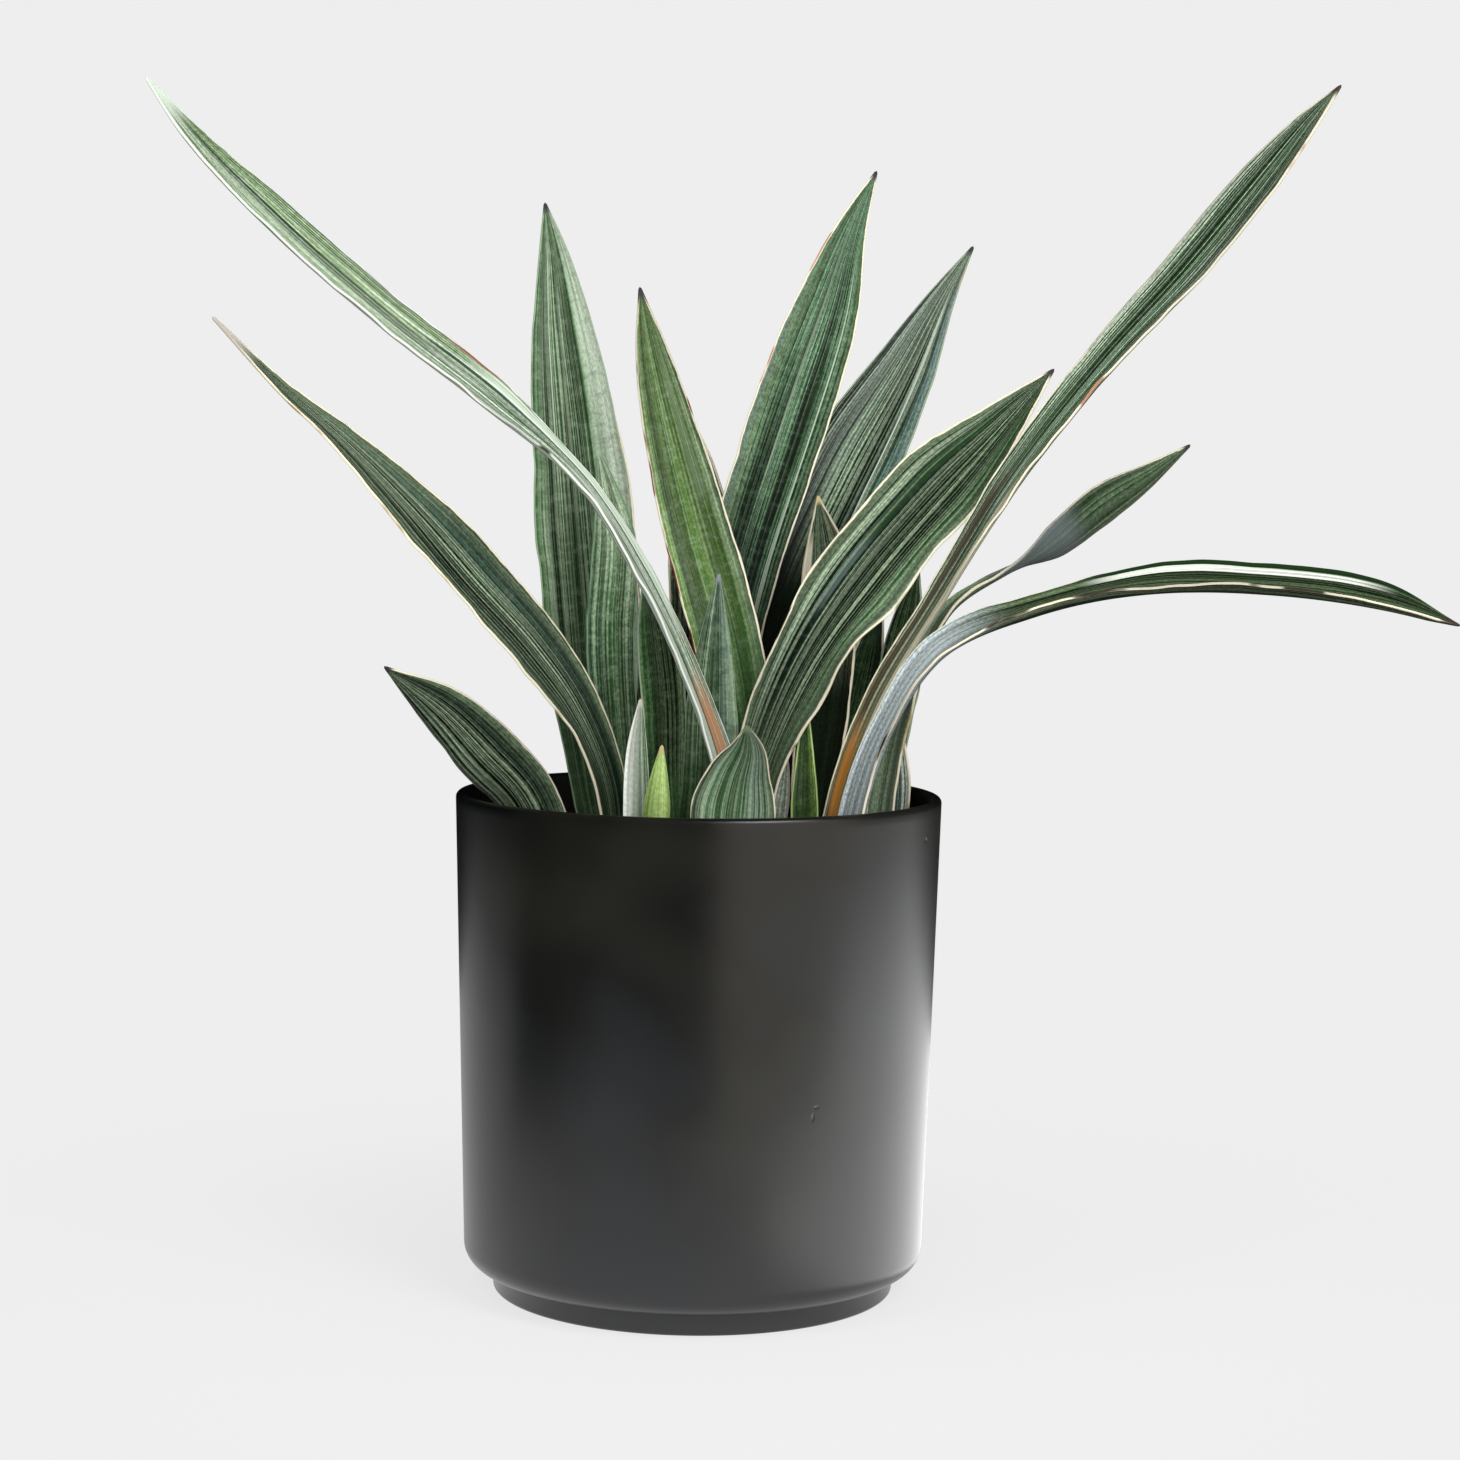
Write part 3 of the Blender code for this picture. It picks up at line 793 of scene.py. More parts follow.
LEANING_LEFT = LeafFinish(
    (Tone.SAGE, Tone.DEEP_TEAL, Tone.PINE, Tone.DEEP_TEAL, Tone.DEEP_TEAL, Tone.OLIVE_GREY), Tone.SAGE,
    Tone.NIGHT, foot=(Tone.PINE, 0.5, 0.15, 0.35), head=(Tone.OLIVE_GREY, 0.5, 0.55, 0.9),
    along=((0.2, 0.7), (0.5, 1.0)), margin=(Tone.CREAM, 0.7), rim=(Tone.STRAW, 0.2), spine=(Tone.DRY, 26.0),
    plain=(-1.2, 0.45), lines=1.0, bands=0.05,
)
SHORT_LEFT = LeafFinish(
    (Tone.OLIVE_GREY, Tone.DEEP_TEAL, Tone.PINE, Tone.PINE, Tone.DEEP_TEAL, Tone.SAGE), Tone.SAGE,
    Tone.NIGHT, along=((0.4, 0.8), (0.8, 1.0)), margin=(Tone.CREAM, 0.6), rim=(Tone.STRAW, 0.2),
    spine=(Tone.CHAR, 4.0), plain=(-0.55, 1.2), lines=0.95, bands=0.1,
)
# its pale flank at the second margin is partly painted sheen where that flank catches light
TALL_LEFT = LeafFinish(
    (Tone.LEAF, Tone.FOREST, Tone.FOREST, Tone.FOREST, Tone.LEAF, Tone.BLOOM, Tone.BLOOM), Tone.SAGE,
    Tone.PINE, foot=(Tone.FOREST, 0.5, 0.2, 0.45), head=(Tone.LEAF, 0.3, 0.8, 1.0),
    along=((0.3, 0.7), (0.6, 1.0)), margin=(Tone.SAGE, 0.4), rim=(Tone.OLIVE_GREY, 0.1),
    spine=(Tone.CHAR, 6.0), plain=(-0.8, 0.35), lines=0.75, mottle=0.14, bands=0.22,
    stripes=(Stripe(-0.42, 0.06, Tone.BLOOM, 0.8, 0.6, 0.92), Stripe(0.34, 0.08, Tone.PINE, 0.6, 0.4, 0.8)),
)
INNER_LEFT = LeafFinish(
    (Tone.JADE, Tone.JADE, Tone.LEAF, Tone.FOREST, Tone.PINE), Tone.SAGE, Tone.PINE,
    foot=(Tone.FOREST, 0.4, 0.3, 0.6), head=(Tone.SAGE, 0.9, 0.6, 0.9), along=((0.4, 0.8), (0.6, 1.0)),
    margin=(Tone.JADE, 0.4), rim=(Tone.LEAF, 0.1), spine=(Tone.SAGE, 4.0), lines=0.6, bands=0.22,
)
DARK_LEFT = LeafFinish(
    (Tone.LEAF, Tone.FOREST, Tone.NIGHT, Tone.PINE, Tone.OLIVE_GREY), Tone.OLIVE_GREY, Tone.NIGHT,
    foot=(Tone.LEAF, 0.5, 0.35, 0.5), along=((0.6, 1.0), (0.9, 0.7)), margin=(Tone.SAGE, 0.6),
    rim=(Tone.OLIVE_GREY, 0.1), spine=(Tone.OLIVE_GREY, 4.0), lines=0.6, bands=0.2,
)
BRIGHT_CENTRE = LeafFinish(
    (Tone.GRASS, Tone.GRASS, Tone.GRASS, Tone.GRASS, Tone.GRASS, Tone.SAGE), Tone.SAGE, Tone.FOREST,
    foot=(Tone.FOREST, 0.75, 0.25, 0.6), head=(Tone.GRASS, 0.6, 0.6, 0.95), along=((0.5, 1.0), (0.9, 0.7)),
    margin=(Tone.CREAM, 0.6), rim=(Tone.RUST, 0.4), spine=(Tone.CHAR, 7.0), lines=0.6, mottle=0.2,
    bands=0.22,
    stripes=(Stripe(0.45, 0.3, Tone.SAGE, 0.35, 0.66, 0.9),),
)
FRONT_SPEAR = LeafFinish(
    (Tone.SAGE, Tone.TEAL, Tone.LEAF, Tone.FOREST, Tone.FOREST), Tone.SAGE, Tone.PINE,
    foot=(Tone.FOREST, 0.75, 0.3, 0.62), head=(Tone.STEEL, 0.55, 0.7, 0.95),
    along=((0.35, 0.5), (0.65, 1.0)), margin=(Tone.SAGE, 0.4), rim=(Tone.OLIVE_GREY, 0.1),
    spine=(Tone.SLATE, 4.0), lines=0.55, mottle=0.15, bands=0.3,
)
PALE_SLIVER = LeafFinish(
    (Tone.PINE, Tone.FOREST, Tone.BLOOM, Tone.PEARL, Tone.PEARL), Tone.PEARL, Tone.OLIVE_GREY,
    along=((0.5, 1.0), (1.0, 1.0)), margin=(Tone.PEARL, 0.4), rim=(Tone.STRAW, 0.1), spine=(Tone.DRY, 4.0),
    lines=0.25, mottle=0.1, bands=0.05,
)
YELLOW_SHOOT = LeafFinish(
    (Tone.GRASS, Tone.STRAW_GREEN, Tone.STRAW_GREEN, Tone.GRASS, Tone.LIME), Tone.STRAW_GREEN, Tone.GRASS,
    along=((0.6, 0.6), (0.85, 1.0)), margin=(Tone.STRAW_GREEN, 0.4), rim=(Tone.STRAW, 0.15),
    spine=(Tone.STRAW, 4.0), lines=0.5, mottle=0.15, bands=0.1,
)
FRONT_BLUNT = LeafFinish(
    (Tone.OLIVE_GREY, Tone.STEEL, Tone.LEAF, Tone.JADE, Tone.SAGE), Tone.SAGE, Tone.PINE,
    along=((0.65, 1.0), (0.95, 0.5)), margin=(Tone.CREAM, 0.8), rim=(Tone.STRAW, 0.15),
    spine=(Tone.OLIVE_GREY, 3.0), lines=0.65, mottle=0.15, bands=0.05,
)
GREY_SHOOT = LeafFinish(
    (Tone.SLATE, Tone.MIST, Tone.SLATE, Tone.SILVER), Tone.SILVER, Tone.OLIVE_GREY,
    along=((0.5, 1.0), (1.0, 1.0)), margin=(Tone.DRY, 0.5), spine=(Tone.STRAW, 4.0), lines=0.45,
)
GREEN_SHOOT = LeafFinish(
    (Tone.PINE, Tone.PINE, Tone.FOREST, Tone.GRASS, Tone.GRASS), Tone.GRASS, Tone.PINE,
    along=((0.6, 0.6), (0.75, 1.0)), margin=(Tone.STRAW_GREEN, 0.4), spine=(Tone.OLIVE_GREY, 4.0),
    lines=0.5, bands=0.3,
)
# its paler flanks at both margins are partly painted sheen where they catch light
BROAD_RIGHT = LeafFinish(
    (Tone.OLIVE_GREY, Tone.DEEP_TEAL, Tone.DEEP_TEAL, Tone.PINE, Tone.PINE, Tone.FOREST, Tone.SAGE),
    Tone.SAGE, Tone.NIGHT, foot=(Tone.OLIVE_GREY, 0.5, 0.2, 0.4), head=(Tone.FOREST, 0.6, 0.68, 0.9),
    along=((0.3, 0.7), (0.6, 1.0)), margin=(Tone.CREAM, 0.8), rim=(Tone.BARK, 0.25), spine=(Tone.CHAR, 5.0),
    plain=(-0.85, 0.55), lines=0.8, bands=0.05, gloss=0.36,
    stripes=(
        # the second strip here, steel grey on the first flank, is a painted bluish highlight
        Stripe(-0.45, 0.2, Tone.FOREST, 0.5, 0.62, 0.9), Stripe(-0.42, 0.16, Tone.STEEL, 0.5, 0.5, 0.62),
    ),
)
# its steel-grey flank at the first margin is partly painted sheen where that flank catches light
TALL_CENTRE = LeafFinish(
    (Tone.STEEL, Tone.OLIVE_GREY, Tone.FOREST, Tone.PINE, Tone.FOREST, Tone.FOREST, Tone.OLIVE_GREY),
    Tone.JADE, Tone.NIGHT, foot=(Tone.DEEP_TEAL, 0.5, 0.3, 0.55), head=(Tone.LEAF, 0.55, 0.7, 0.95),
    along=((0.4, 0.4), (0.55, 1.0)), margin=(Tone.CREAM, 0.6), rim=(Tone.BLUSH, 0.2),
    spine=(Tone.CHAR, 6.0), plain=(-0.55, 0.85), lines=0.95, bands=0.2,
    stripes=(
        Stripe(0.7, 0.08, Tone.BLOOM, 0.7, 0.35, 0.85), Stripe(-0.1, 0.05, Tone.SAGE, 0.5, 0.55, 0.95),
    ),
)
# its paler grey edges are partly painted sheen where they catch light, and its near-black foot is painted
# shade deep in the clump
BLUE_RIGHT = LeafFinish(
    (Tone.STEEL, Tone.SLATE, Tone.TEAL, Tone.DEEP_TEAL, Tone.DEEP_TEAL, Tone.TEAL, Tone.STEEL), Tone.SAGE,
    Tone.NIGHT, foot=(Tone.NIGHT, 0.98, 0.42, 0.62), head=(Tone.SLATE, 0.5, 0.7, 0.95),
    along=((0.4, 0.4), (0.55, 1.0)), margin=(Tone.SAGE, 0.4), rim=(Tone.STRAW, 0.15),
    spine=(Tone.CHAR, 6.0), plain=(-1.2, 0.65), lines=0.9, bands=0.1,
    stripes=(
        Stripe(0.5, 0.06, Tone.SILVER, 0.8, 0.55, 0.9), Stripe(0.62, 0.05, Tone.DEEP_TEAL, 0.7, 0.55, 0.9),
    ),
)
# its near-black foot is painted shade deep among the blades
WEDGE_RIGHT = LeafFinish(
    (Tone.PINE, Tone.FOREST, Tone.NIGHT, Tone.OLIVE_GREY, Tone.STRAW), Tone.SAGE, Tone.NIGHT,
    foot=(Tone.NIGHT, 0.97, 0.5, 0.78), along=((0.6, 1.0), (0.9, 0.6)), margin=(Tone.CREAM, 0.7),
    rim=(Tone.STRAW, 0.2), spine=(Tone.STRAW, 4.0), bands=0.1,
    stripes=(Stripe(-0.85, 0.4, Tone.CREAM, 0.8, 0.62, 0.9),),
)
ARCHING_RIGHT = LeafFinish(
    (Tone.OLIVE_GREY, Tone.LEAF, Tone.JADE, Tone.LEAF, Tone.JADE), Tone.BLOOM, Tone.PINE,
    foot=(Tone.STRAW, 0.3, 0.15, 0.45), head=(Tone.LEAF, 0.5, 0.6, 0.85), along=((0.6, 1.0), (0.8, 0.8)),
    margin=(Tone.CREAM, 0.8), rim=(Tone.BLUSH, 0.1), spine=(Tone.BARK, 6.0), lines=0.95, bands=0.05,
    stripes=(
        Stripe(-0.55, 0.3, Tone.BARK, 0.9, 0.2, 0.5), Stripe(-0.05, 0.2, Tone.BARK, 0.85, 0.1, 0.46),
        Stripe(0.35, 0.1, Tone.BARK, 0.7, 0.12, 0.42), Stripe(0.66, 0.5, Tone.CREAM, 0.7, 0.0, 0.5),
        Stripe(-0.3, 0.75, Tone.AMBER, 0.9, 0.0, 0.2), Stripe(-0.72, 0.12, Tone.BARK, 0.8, 0.0, 0.3),
    ),
)
DROOPING_RIGHT = LeafFinish(
    (Tone.OLIVE_GREY, Tone.PINE, Tone.PINE, Tone.TEAL, Tone.STEEL), Tone.OLIVE_GREY, Tone.NIGHT,
    outer=(Tone.PINE, Tone.PINE, Tone.SAGE), foot=(Tone.MIST, 0.9, 0.36, 0.48),
    along=((0.4, 1.0), (1.0, 0.9)), margin=(Tone.CREAM, 0.35), rim=(Tone.BARK, 0.2), spine=(Tone.BARK, 7.0),
    lines=0.85, bands=0.05, gloss=0.36,
    stripes=(
        # the dark strip along the first margin is painted shade where that margin curls over; the pale line
        # beside it is partly the pale margin and partly a painted highlight on the bend
        Stripe(-0.97, 0.42, Tone.PINE, 1.0, 0.56, 0.96), Stripe(-0.72, 0.13, Tone.PEARL, 1.0, 0.58, 0.9),
    ),
)
TWISTED_RIGHT = LeafFinish(
    (Tone.OLIVE_GREY, Tone.LEAF, Tone.TEAL, Tone.JADE, Tone.TEAL), Tone.SAGE, Tone.PINE,
    outer=(Tone.SAGE, Tone.OLIVE_GREY, Tone.FOREST, Tone.FOREST, Tone.OLIVE_GREY),
    foot=(Tone.SAGE, 0.6, 0.55, 0.66), along=((0.6, 1.0), (0.9, 0.8)), margin=(Tone.CREAM, 0.6),
    rim=(Tone.STRAW, 0.15), spine=(Tone.BARK, 5.0), lines=0.45, bands=0.1,
    stripes=(Stripe(0.0, 2.4, Tone.SLATE, 0.6, 0.6, 0.76),),
)
STRIPED_SHOOT = LeafFinish(
    (Tone.SILVER, Tone.BLOOM, Tone.SILVER, Tone.SILVER, Tone.BLOOM), Tone.PEARL, Tone.TEAL,
    along=((0.55, 0.7), (0.7, 1.0)), margin=(Tone.CREAM, 0.9), lines=0.95, bands=0.05,
)
# its near-black foot, which SHADED, DARK_RIGHT and BACK_RIGHT keep, is painted shade low in the clump
DARK = LeafFinish(
    (Tone.OLIVE_GREY, Tone.FOREST, Tone.OLIVE_GREY), Tone.SAGE, Tone.NIGHT,
    foot=(Tone.NIGHT, 0.9, 0.3, 0.6),
)
# SHADED and DARK_RIGHT are darker copies of DARK: painted shade for blades that stand deep in the clump
SHADED = replace(DARK, tones=(Tone.PINE, Tone.FOREST, Tone.PINE), vein=Tone.OLIVE_GREY)
DARK_RIGHT = replace(SHADED, tones=(Tone.NIGHT, Tone.FOREST, Tone.OLIVE_GREY), margin=(Tone.SAGE, 0.5))
BACK_LEFT = replace(DARK, tones=(Tone.LEAF, Tone.LEAF, Tone.JADE), foot=(Tone.FOREST, 0.5, 0.2, 0.45))
BACK_RIGHT = replace(DARK, tones=(Tone.STEEL, Tone.TEAL, Tone.STEEL))

BLADES = (
    Blade("leaf_arching_left", Slot.SILVER, ARCHING_LEFT, (95, 60), rows=(
        (12, -52, 155, 15, 50), (12, -54, 180, 16, 50), (11, -58, 208, 17, 54), (-6, -62, 261, 16, 66),
        (-23, -67, 296, 17, 69), (-47, -70, 333, 15, 70), (-80, -74, 362, 26, 64), (-122, -80, 394, 28, 65),
        (-166, -88, 432, 27, 66), (-196, -94, 463, 13, 64), (-210, -98, 482, 1.4, 60),
    )),
    Blade("leaf_leaning_left", Slot.GREY_GREEN, LEANING_LEFT, (85, 50), wave=1.2, waves=3.5, rows=(
        (-34, -34, 155, 15, 45), (-34, -35, 180, 16, 45), (-36, -38, 208, 18, 46), (-50, -46, 244, 25, 48),
        (-66, -54, 267, 31, 50), (-90, -62, 294, 34, 50), (-112, -70, 320, 27, 50),
        (-141, -80, 350, 14, 48), (-158, -86, 365, 8, 46), (-185, -95, 393, 1.4, 45),
    )),
    Blade("leaf_short_left", Slot.BLUE_GREEN, SHORT_LEFT, (70, 40), rows=(
        (-59, -24, 155, 22, 152), (-61, -26, 180, 25, 152), (-71, -31, 206, 30, 152),
        (-86, -37, 223, 32, 152), (-102, -43, 241, 25, 150), (-124, -52, 259, 1.4, 150),
    )),
    Blade("leaf_tall_left", Slot.GREEN, TALL_LEFT, (75, 55), wave=0.9, waves=4.5, rows=(
        (-36, 18, 155, 20, 5), (-37, 20, 180, 23, 5), (-41, 24, 205, 28, 6), (-48, 34, 284, 43, 8),
        (-55, 46, 350, 39, 8), (-61, 54, 394, 28, 8), (-66, 62, 430, 13, 8), (-70, 68, 451, 1.4, 8),
    )),
    Blade("leaf_inner_left", Slot.GREEN, INNER_LEFT, (80, 50), rows=(
        (-29, -2, 155, 14, 14), (-30, -1, 180, 15, 14), (-33, 1, 208, 18, 14), (-38, 3, 273, 21, 14),
        (-37, 6, 312, 18, 14), (-41, 9, 334, 8, 14), (-44, 10, 346, 1.4, 14),
    )),
    Blade("leaf_dark_left", Slot.DARK_GREEN, DARK_LEFT, (80, 50), rows=(
        (-9, -12, 155, 12, 0), (-10, -13, 180, 14, 0), (-13, -16, 210, 17, 0), (-15, -19, 251, 19, 0),
        (-19, -21, 279, 14, 0), (-23, -23, 296, 1.4, 0),
    )),
    Blade("leaf_bright_centre", Slot.YELLOW_GREEN, BRIGHT_CENTRE, (80, 55), rows=(
        (17, 1, 155, 19, 4), (18, 2, 180, 21, 4), (19, 4, 212, 24, 4), (10, 4, 270, 30, 4),
        (-3, 3, 315, 29, 4), (-13, 2, 351, 24, 4), (-22, 2, 387, 14, 4), (-27, 3, 412, 1.4, 4),
    )),
    Blade("leaf_front_spear", Slot.BLUE_GREEN, FRONT_SPEAR, (80, 50), rows=(
        (1, -35, 155, 17, 178), (1, -36, 180, 20, 178), (4, -38, 208, 23, 178), (5, -41, 249, 20, 178),
        (6, -44, 276, 11, 178), (7, -46, 297, 1.4, 178),
    )),
    Blade("leaf_pale_sliver", Slot.CREAM, PALE_SLIVER, (90, 50), flutter=0.15, rows=(
        (-24, -53, 155, 9, 192), (-24, -54, 180, 10, 192), (-24, -56, 205, 11, 192),
        (-24, -58, 230, 8, 192), (-23, -60, 248, 1.4, 192),
    )),
    Blade("leaf_yellow_shoot", Slot.YELLOW_GREEN, YELLOW_SHOOT, (90, 50), flutter=0.15, rows=(
        (-17, -67, 155, 9, 176), (-17, -67, 180, 10, 176), (-16, -69, 205, 11, 176),
        (-15, -71, 219, 7, 176), (-14, -73, 231, 1.4, 176),
    )),
    Blade("leaf_front_blunt", Slot.GREY_GREEN, FRONT_BLUNT, (85, 50), flutter=0.2, rows=(
        (14, -71, 155, 24, 180), (14, -72, 180, 30, 180), (14, -74, 205, 35, 180), (16, -77, 219, 27, 180),
        (19, -80, 231, 15, 180), (19, -82, 240, 2.0, 180),
    )),
    Blade("leaf_grey_shoot", Slot.SILVER, GREY_SHOOT, (90, 60), flutter=0.15, rows=(
        (29, -11, 155, 12, -8), (29, -11, 180, 14, -8), (30, -10, 202, 15, -8), (33, -9, 216, 9, -8),
        (35, -8, 227, 1.4, -8),
    )),
    Blade("leaf_green_shoot", Slot.GREEN, GREEN_SHOOT, (90, 60), flutter=0.15, rows=(
        (43, -28, 155, 10, 0), (43, -28, 180, 12, 0), (43, -26, 201, 12, 0), (43, -20, 222, 8, 0),
        (43, -14, 247, 1.4, 0),
    )),
    Blade("leaf_broad_right", Slot.DARK_GREEN, BROAD_RIGHT, (80, 50), wave=2.0, waves=4.5, rows=(
        (17, -24, 155, 19, -20), (18, -24, 180, 21, -20), (22, -23, 206, 22, -20), (41, -20, 258, 31, -20),
        (67, -17, 298, 39, -20), (93, -14, 329, 39, -20), (120, -12, 358, 21, -20),
        (141, -10, 381, 1.4, -20),
    )),
    Blade("leaf_tall_centre", Slot.GREEN, TALL_CENTRE, (80, 55), rows=(
        (2, 21, 155, 17, 10), (3, 23, 180, 19, 10), (5, 26, 205, 21, 10), (13, 35, 285, 32, 10),
        (33, 50, 356, 36, 10), (50, 62, 407, 30, 10), (62, 74, 445, 13, 10), (72, 84, 468, 1.4, 10),
    )),
    Blade("leaf_blue_right", Slot.BLUE_GREEN, BLUE_RIGHT, (75, 50), rows=(
        (16, 46, 155, 21, -10), (17, 48, 180, 24, -10), (21, 51, 205, 28, -10), (38, 64, 283, 41, -10),
        (62, 78, 338, 42, -10), (87, 96, 384, 28, -10), (105, 111, 419, 11, -10), (117, 120, 439, 1.4, -10),
    )),
    Blade("leaf_wedge_right", Slot.DARK_GREEN, WEDGE_RIGHT, (80, 50), rows=(
        (45, 18, 155, 14, -5), (46, 19, 180, 16, -5), (48, 22, 206, 20, -5), (53, 27, 262, 24, -5),
        (52, 30, 302, 20, -5), (48, 34, 328, 1.4, -5),
    )),
    Blade("leaf_arching_right", Slot.GREEN, ARCHING_RIGHT, (95, 60), rows=(
        (53, -22, 155, 14, -55), (54, -23, 180, 15, -55), (58, -25, 206, 15, -58), (71, -30, 245, 16, -62),
        (95, -38, 288, 18, -68), (127, -42, 341, 23, -65), (160, -45, 384, 27, -64),
        (191, -48, 419, 30, -60), (219, -50, 455, 26, -58), (236, -51, 478, 13, -56),
        (246, -52, 491, 1.4, -55),
    )),
    Blade("leaf_drooping_right", Slot.GREY_GREEN, DROOPING_RIGHT, (100, 70), wave=1.0, waves=4.0, rows=(
        (60, -44, 155, 18, -58), (61, -45, 180, 20, -60), (64, -48, 203, 20, -62), (75, -54, 238, 19, -66),
        (95, -61, 269, 24, -71), (130, -68, 285, 23, -78), (171, -76, 295, 34, -77),
        (218, -84, 296, 36, -76), (262, -91, 291, 30, -73), (289, -96, 284, 1.4, -70),
    )),
    Blade("leaf_twisted_right", Slot.DARK_GREEN, TWISTED_RIGHT, (85, 55), rows=(
        (74, 2, 155, 13, -44), (75, 3, 180, 15, -46), (78, 6, 207, 17, -50), (88, 10, 250, 16, -62),
        (103, 15, 282, 14, -78), (127, 24, 298, 13, -92), (145, 30, 307, 23, -124),
        (170, 39, 326, 22, -144), (189, 47, 339, 12, -150), (206, 53, 352, 1.4, -150),
    )),
    Blade("leaf_striped_shoot", Slot.GREY_GREEN, STRIPED_SHOOT, (90, 60), flutter=0.2, rows=(
        (79, 17, 155, 12, -30), (80, 18, 180, 14, -30), (82, 20, 203, 18, -30), (82, 22, 226, 10, -30),
        (80, 24, 243, 1.4, -30),
    )),
    Blade("leaf_dark_right", Slot.DARK_GREEN, DARK_RIGHT, (80, 55), rows=(
        (70, 38, 155, 14, -25), (71, 39, 180, 16, -25), (76, 41, 206, 19, -25), (84, 47, 245, 21, -25),
        (88, 52, 275, 15, -25), (92, 57, 298, 1.4, -25),
    )),
    Blade("leaf_back_left", Slot.GREEN, BACK_LEFT, (75, 50), rows=(
        (-30, 44, 155, 18, 8), (-31, 46, 180, 21, 8), (-36, 52, 210, 27, 8), (-46, 72, 300, 35, 8),
        (-50, 88, 350, 27, 8), (-54, 104, 392, 1.4, 8),
    )),
    Blade("leaf_back_centre", Slot.DARK_GREEN, DARK, (75, 50), rows=(
        (-6, 63, 155, 17, 0), (-6, 65, 180, 20, 0), (-4, 70, 210, 26, 0), (0, 92, 285, 32, 0),
        (-4, 108, 332, 22, 0), (-10, 120, 368, 1.4, 0),
    )),
    Blade("leaf_back_right", Slot.BLUE_GREEN, BACK_RIGHT, (75, 50), rows=(
        (35, 60, 155, 17, -8), (37, 62, 180, 19, -8), (43, 68, 215, 26, -8), (62, 96, 300, 33, -8),
        (76, 116, 342, 22, -8), (86, 130, 374, 1.4, -8),
    )),
    Blade("leaf_back_edge", Slot.DARK_GREEN, SHADED, (85, 55), rows=(
        (58, 48, 155, 13, -20), (59, 49, 180, 15, -20), (63, 54, 215, 19, -20), (71, 66, 255, 16, -20),
        (78, 76, 285, 1.4, -20),
    )),
)


# Pot and mix


def arc(centre: tuple, radius: float, start: float, end: float, steps: int) -> list:
    """Points (radius, height) on a circle's arc.

    Args:
        centre: (radius, height) of its middle.
        radius: its radius.
        start: first angle in degrees.
        end: last angle in degrees.
        steps: number of steps between them.

    Returns:
        The points in order.
    """
    angles = np.radians(np.linspace(start, end, steps + 1))
    return [(centre[0] + radius * math.cos(a), centre[1] + radius * math.sin(a)) for a in angles]


def turned(name: str, profile: list, sides: int) -> bpy.types.Mesh:
    """Turns a profile about the upright axis and closes both poles.

    Args:
        name: the mesh's name.
        profile: (radius, height) points from the lower middle outwards, up, and back in.
        sides: number of steps round.

    Returns:
        A closed mesh whose faces point outwards.
    """
    angles = np.arange(sides) * 2 * math.pi / sides
    points = [(r * math.cos(a), r * math.sin(a), z) for r, z in profile for a in angles]
    points += [(0.0, 0.0, profile[0][1]), (0.0, 0.0, profile[-1][1])]
    mesh = meshed(name, metres(points), tube(len(profile), sides))
    mesh.shade_smooth()
    return mesh


@dataclass(frozen=True)
class Pot:
    """The turned pot: a foot set back under the body, a slight taper, a rounded lip and a deep cavity."""

    rim_radius: float = 100.0
    height: float = 206.0
    wall: float = 4.5
    low_radius: float = 95.2
    foot_radius: float = 83.0
    foot_height: float = 9.5
    foot_rounding: float = 1.5
    low_rounding: float = 10.0
    floor: float = 14.0
    floor_rounding: float = 12.0
    sides: int = 192

    POLE = 40.0  # radius of the ring next to the middle, under the foot and on the cavity's floor
    CLEAR = 3.0  # how far the rings of a straight wall stay from a rounding

    def outer(self, height: float) -> float:
        """The outside radius on the straight taper."""
        low = self.foot_height + self.low_rounding
        lip = self.height - self.wall / 2
        return self.low_radius + (self.rim_radius - self.low_radius) * (height - low) / (lip - low)

    def profile(self) -> list:
        """The whole outline, from the underside's middle over the lip to the cavity's floor."""
        low = self.foot_height + self.low_rounding
        lip = self.height - self.wall / 2
        corner = self.floor + self.floor_rounding
        inside = (self.outer(corner) - self.wall - self.floor_rounding, corner)
        return [
            (self.POLE, 0.0),
            (self.foot_radius - 2.5, 0.0),
            *arc((self.foot_radius - self.foot_rounding, self.foot_rounding), self.foot_rounding, -90, 0, 6),
            (self.foot_radius, self.foot_height - 0.8),
            (self.foot_radius + 0.5, self.foot_height - 0.1),
            *arc((self.low_radius - self.low_rounding, low), self.low_rounding, -84, 0, 14),
            *((self.outer(z), z) for z in np.linspace(low + self.CLEAR, lip - self.CLEAR, 24)),
            *arc((self.rim_radius - self.wall / 2, lip), self.wall / 2, 0, 180, 14),
            *((self.outer(z) - self.wall, z) for z in np.linspace(lip - self.CLEAR, corner + self.CLEAR, 8)),
            *arc(inside, self.floor_rounding, 0, -90, 8),
            (self.POLE, self.floor),
        ]

    def build(self) -> bpy.types.Object:
        """Turns the outline and glazes it."""
        mesh = turned("pot_glazed", self.profile(), self.sides)
        return add_piece("pot_glazed", mesh, GlazedStoneware().material(), Slot.GLAZE, "pot")


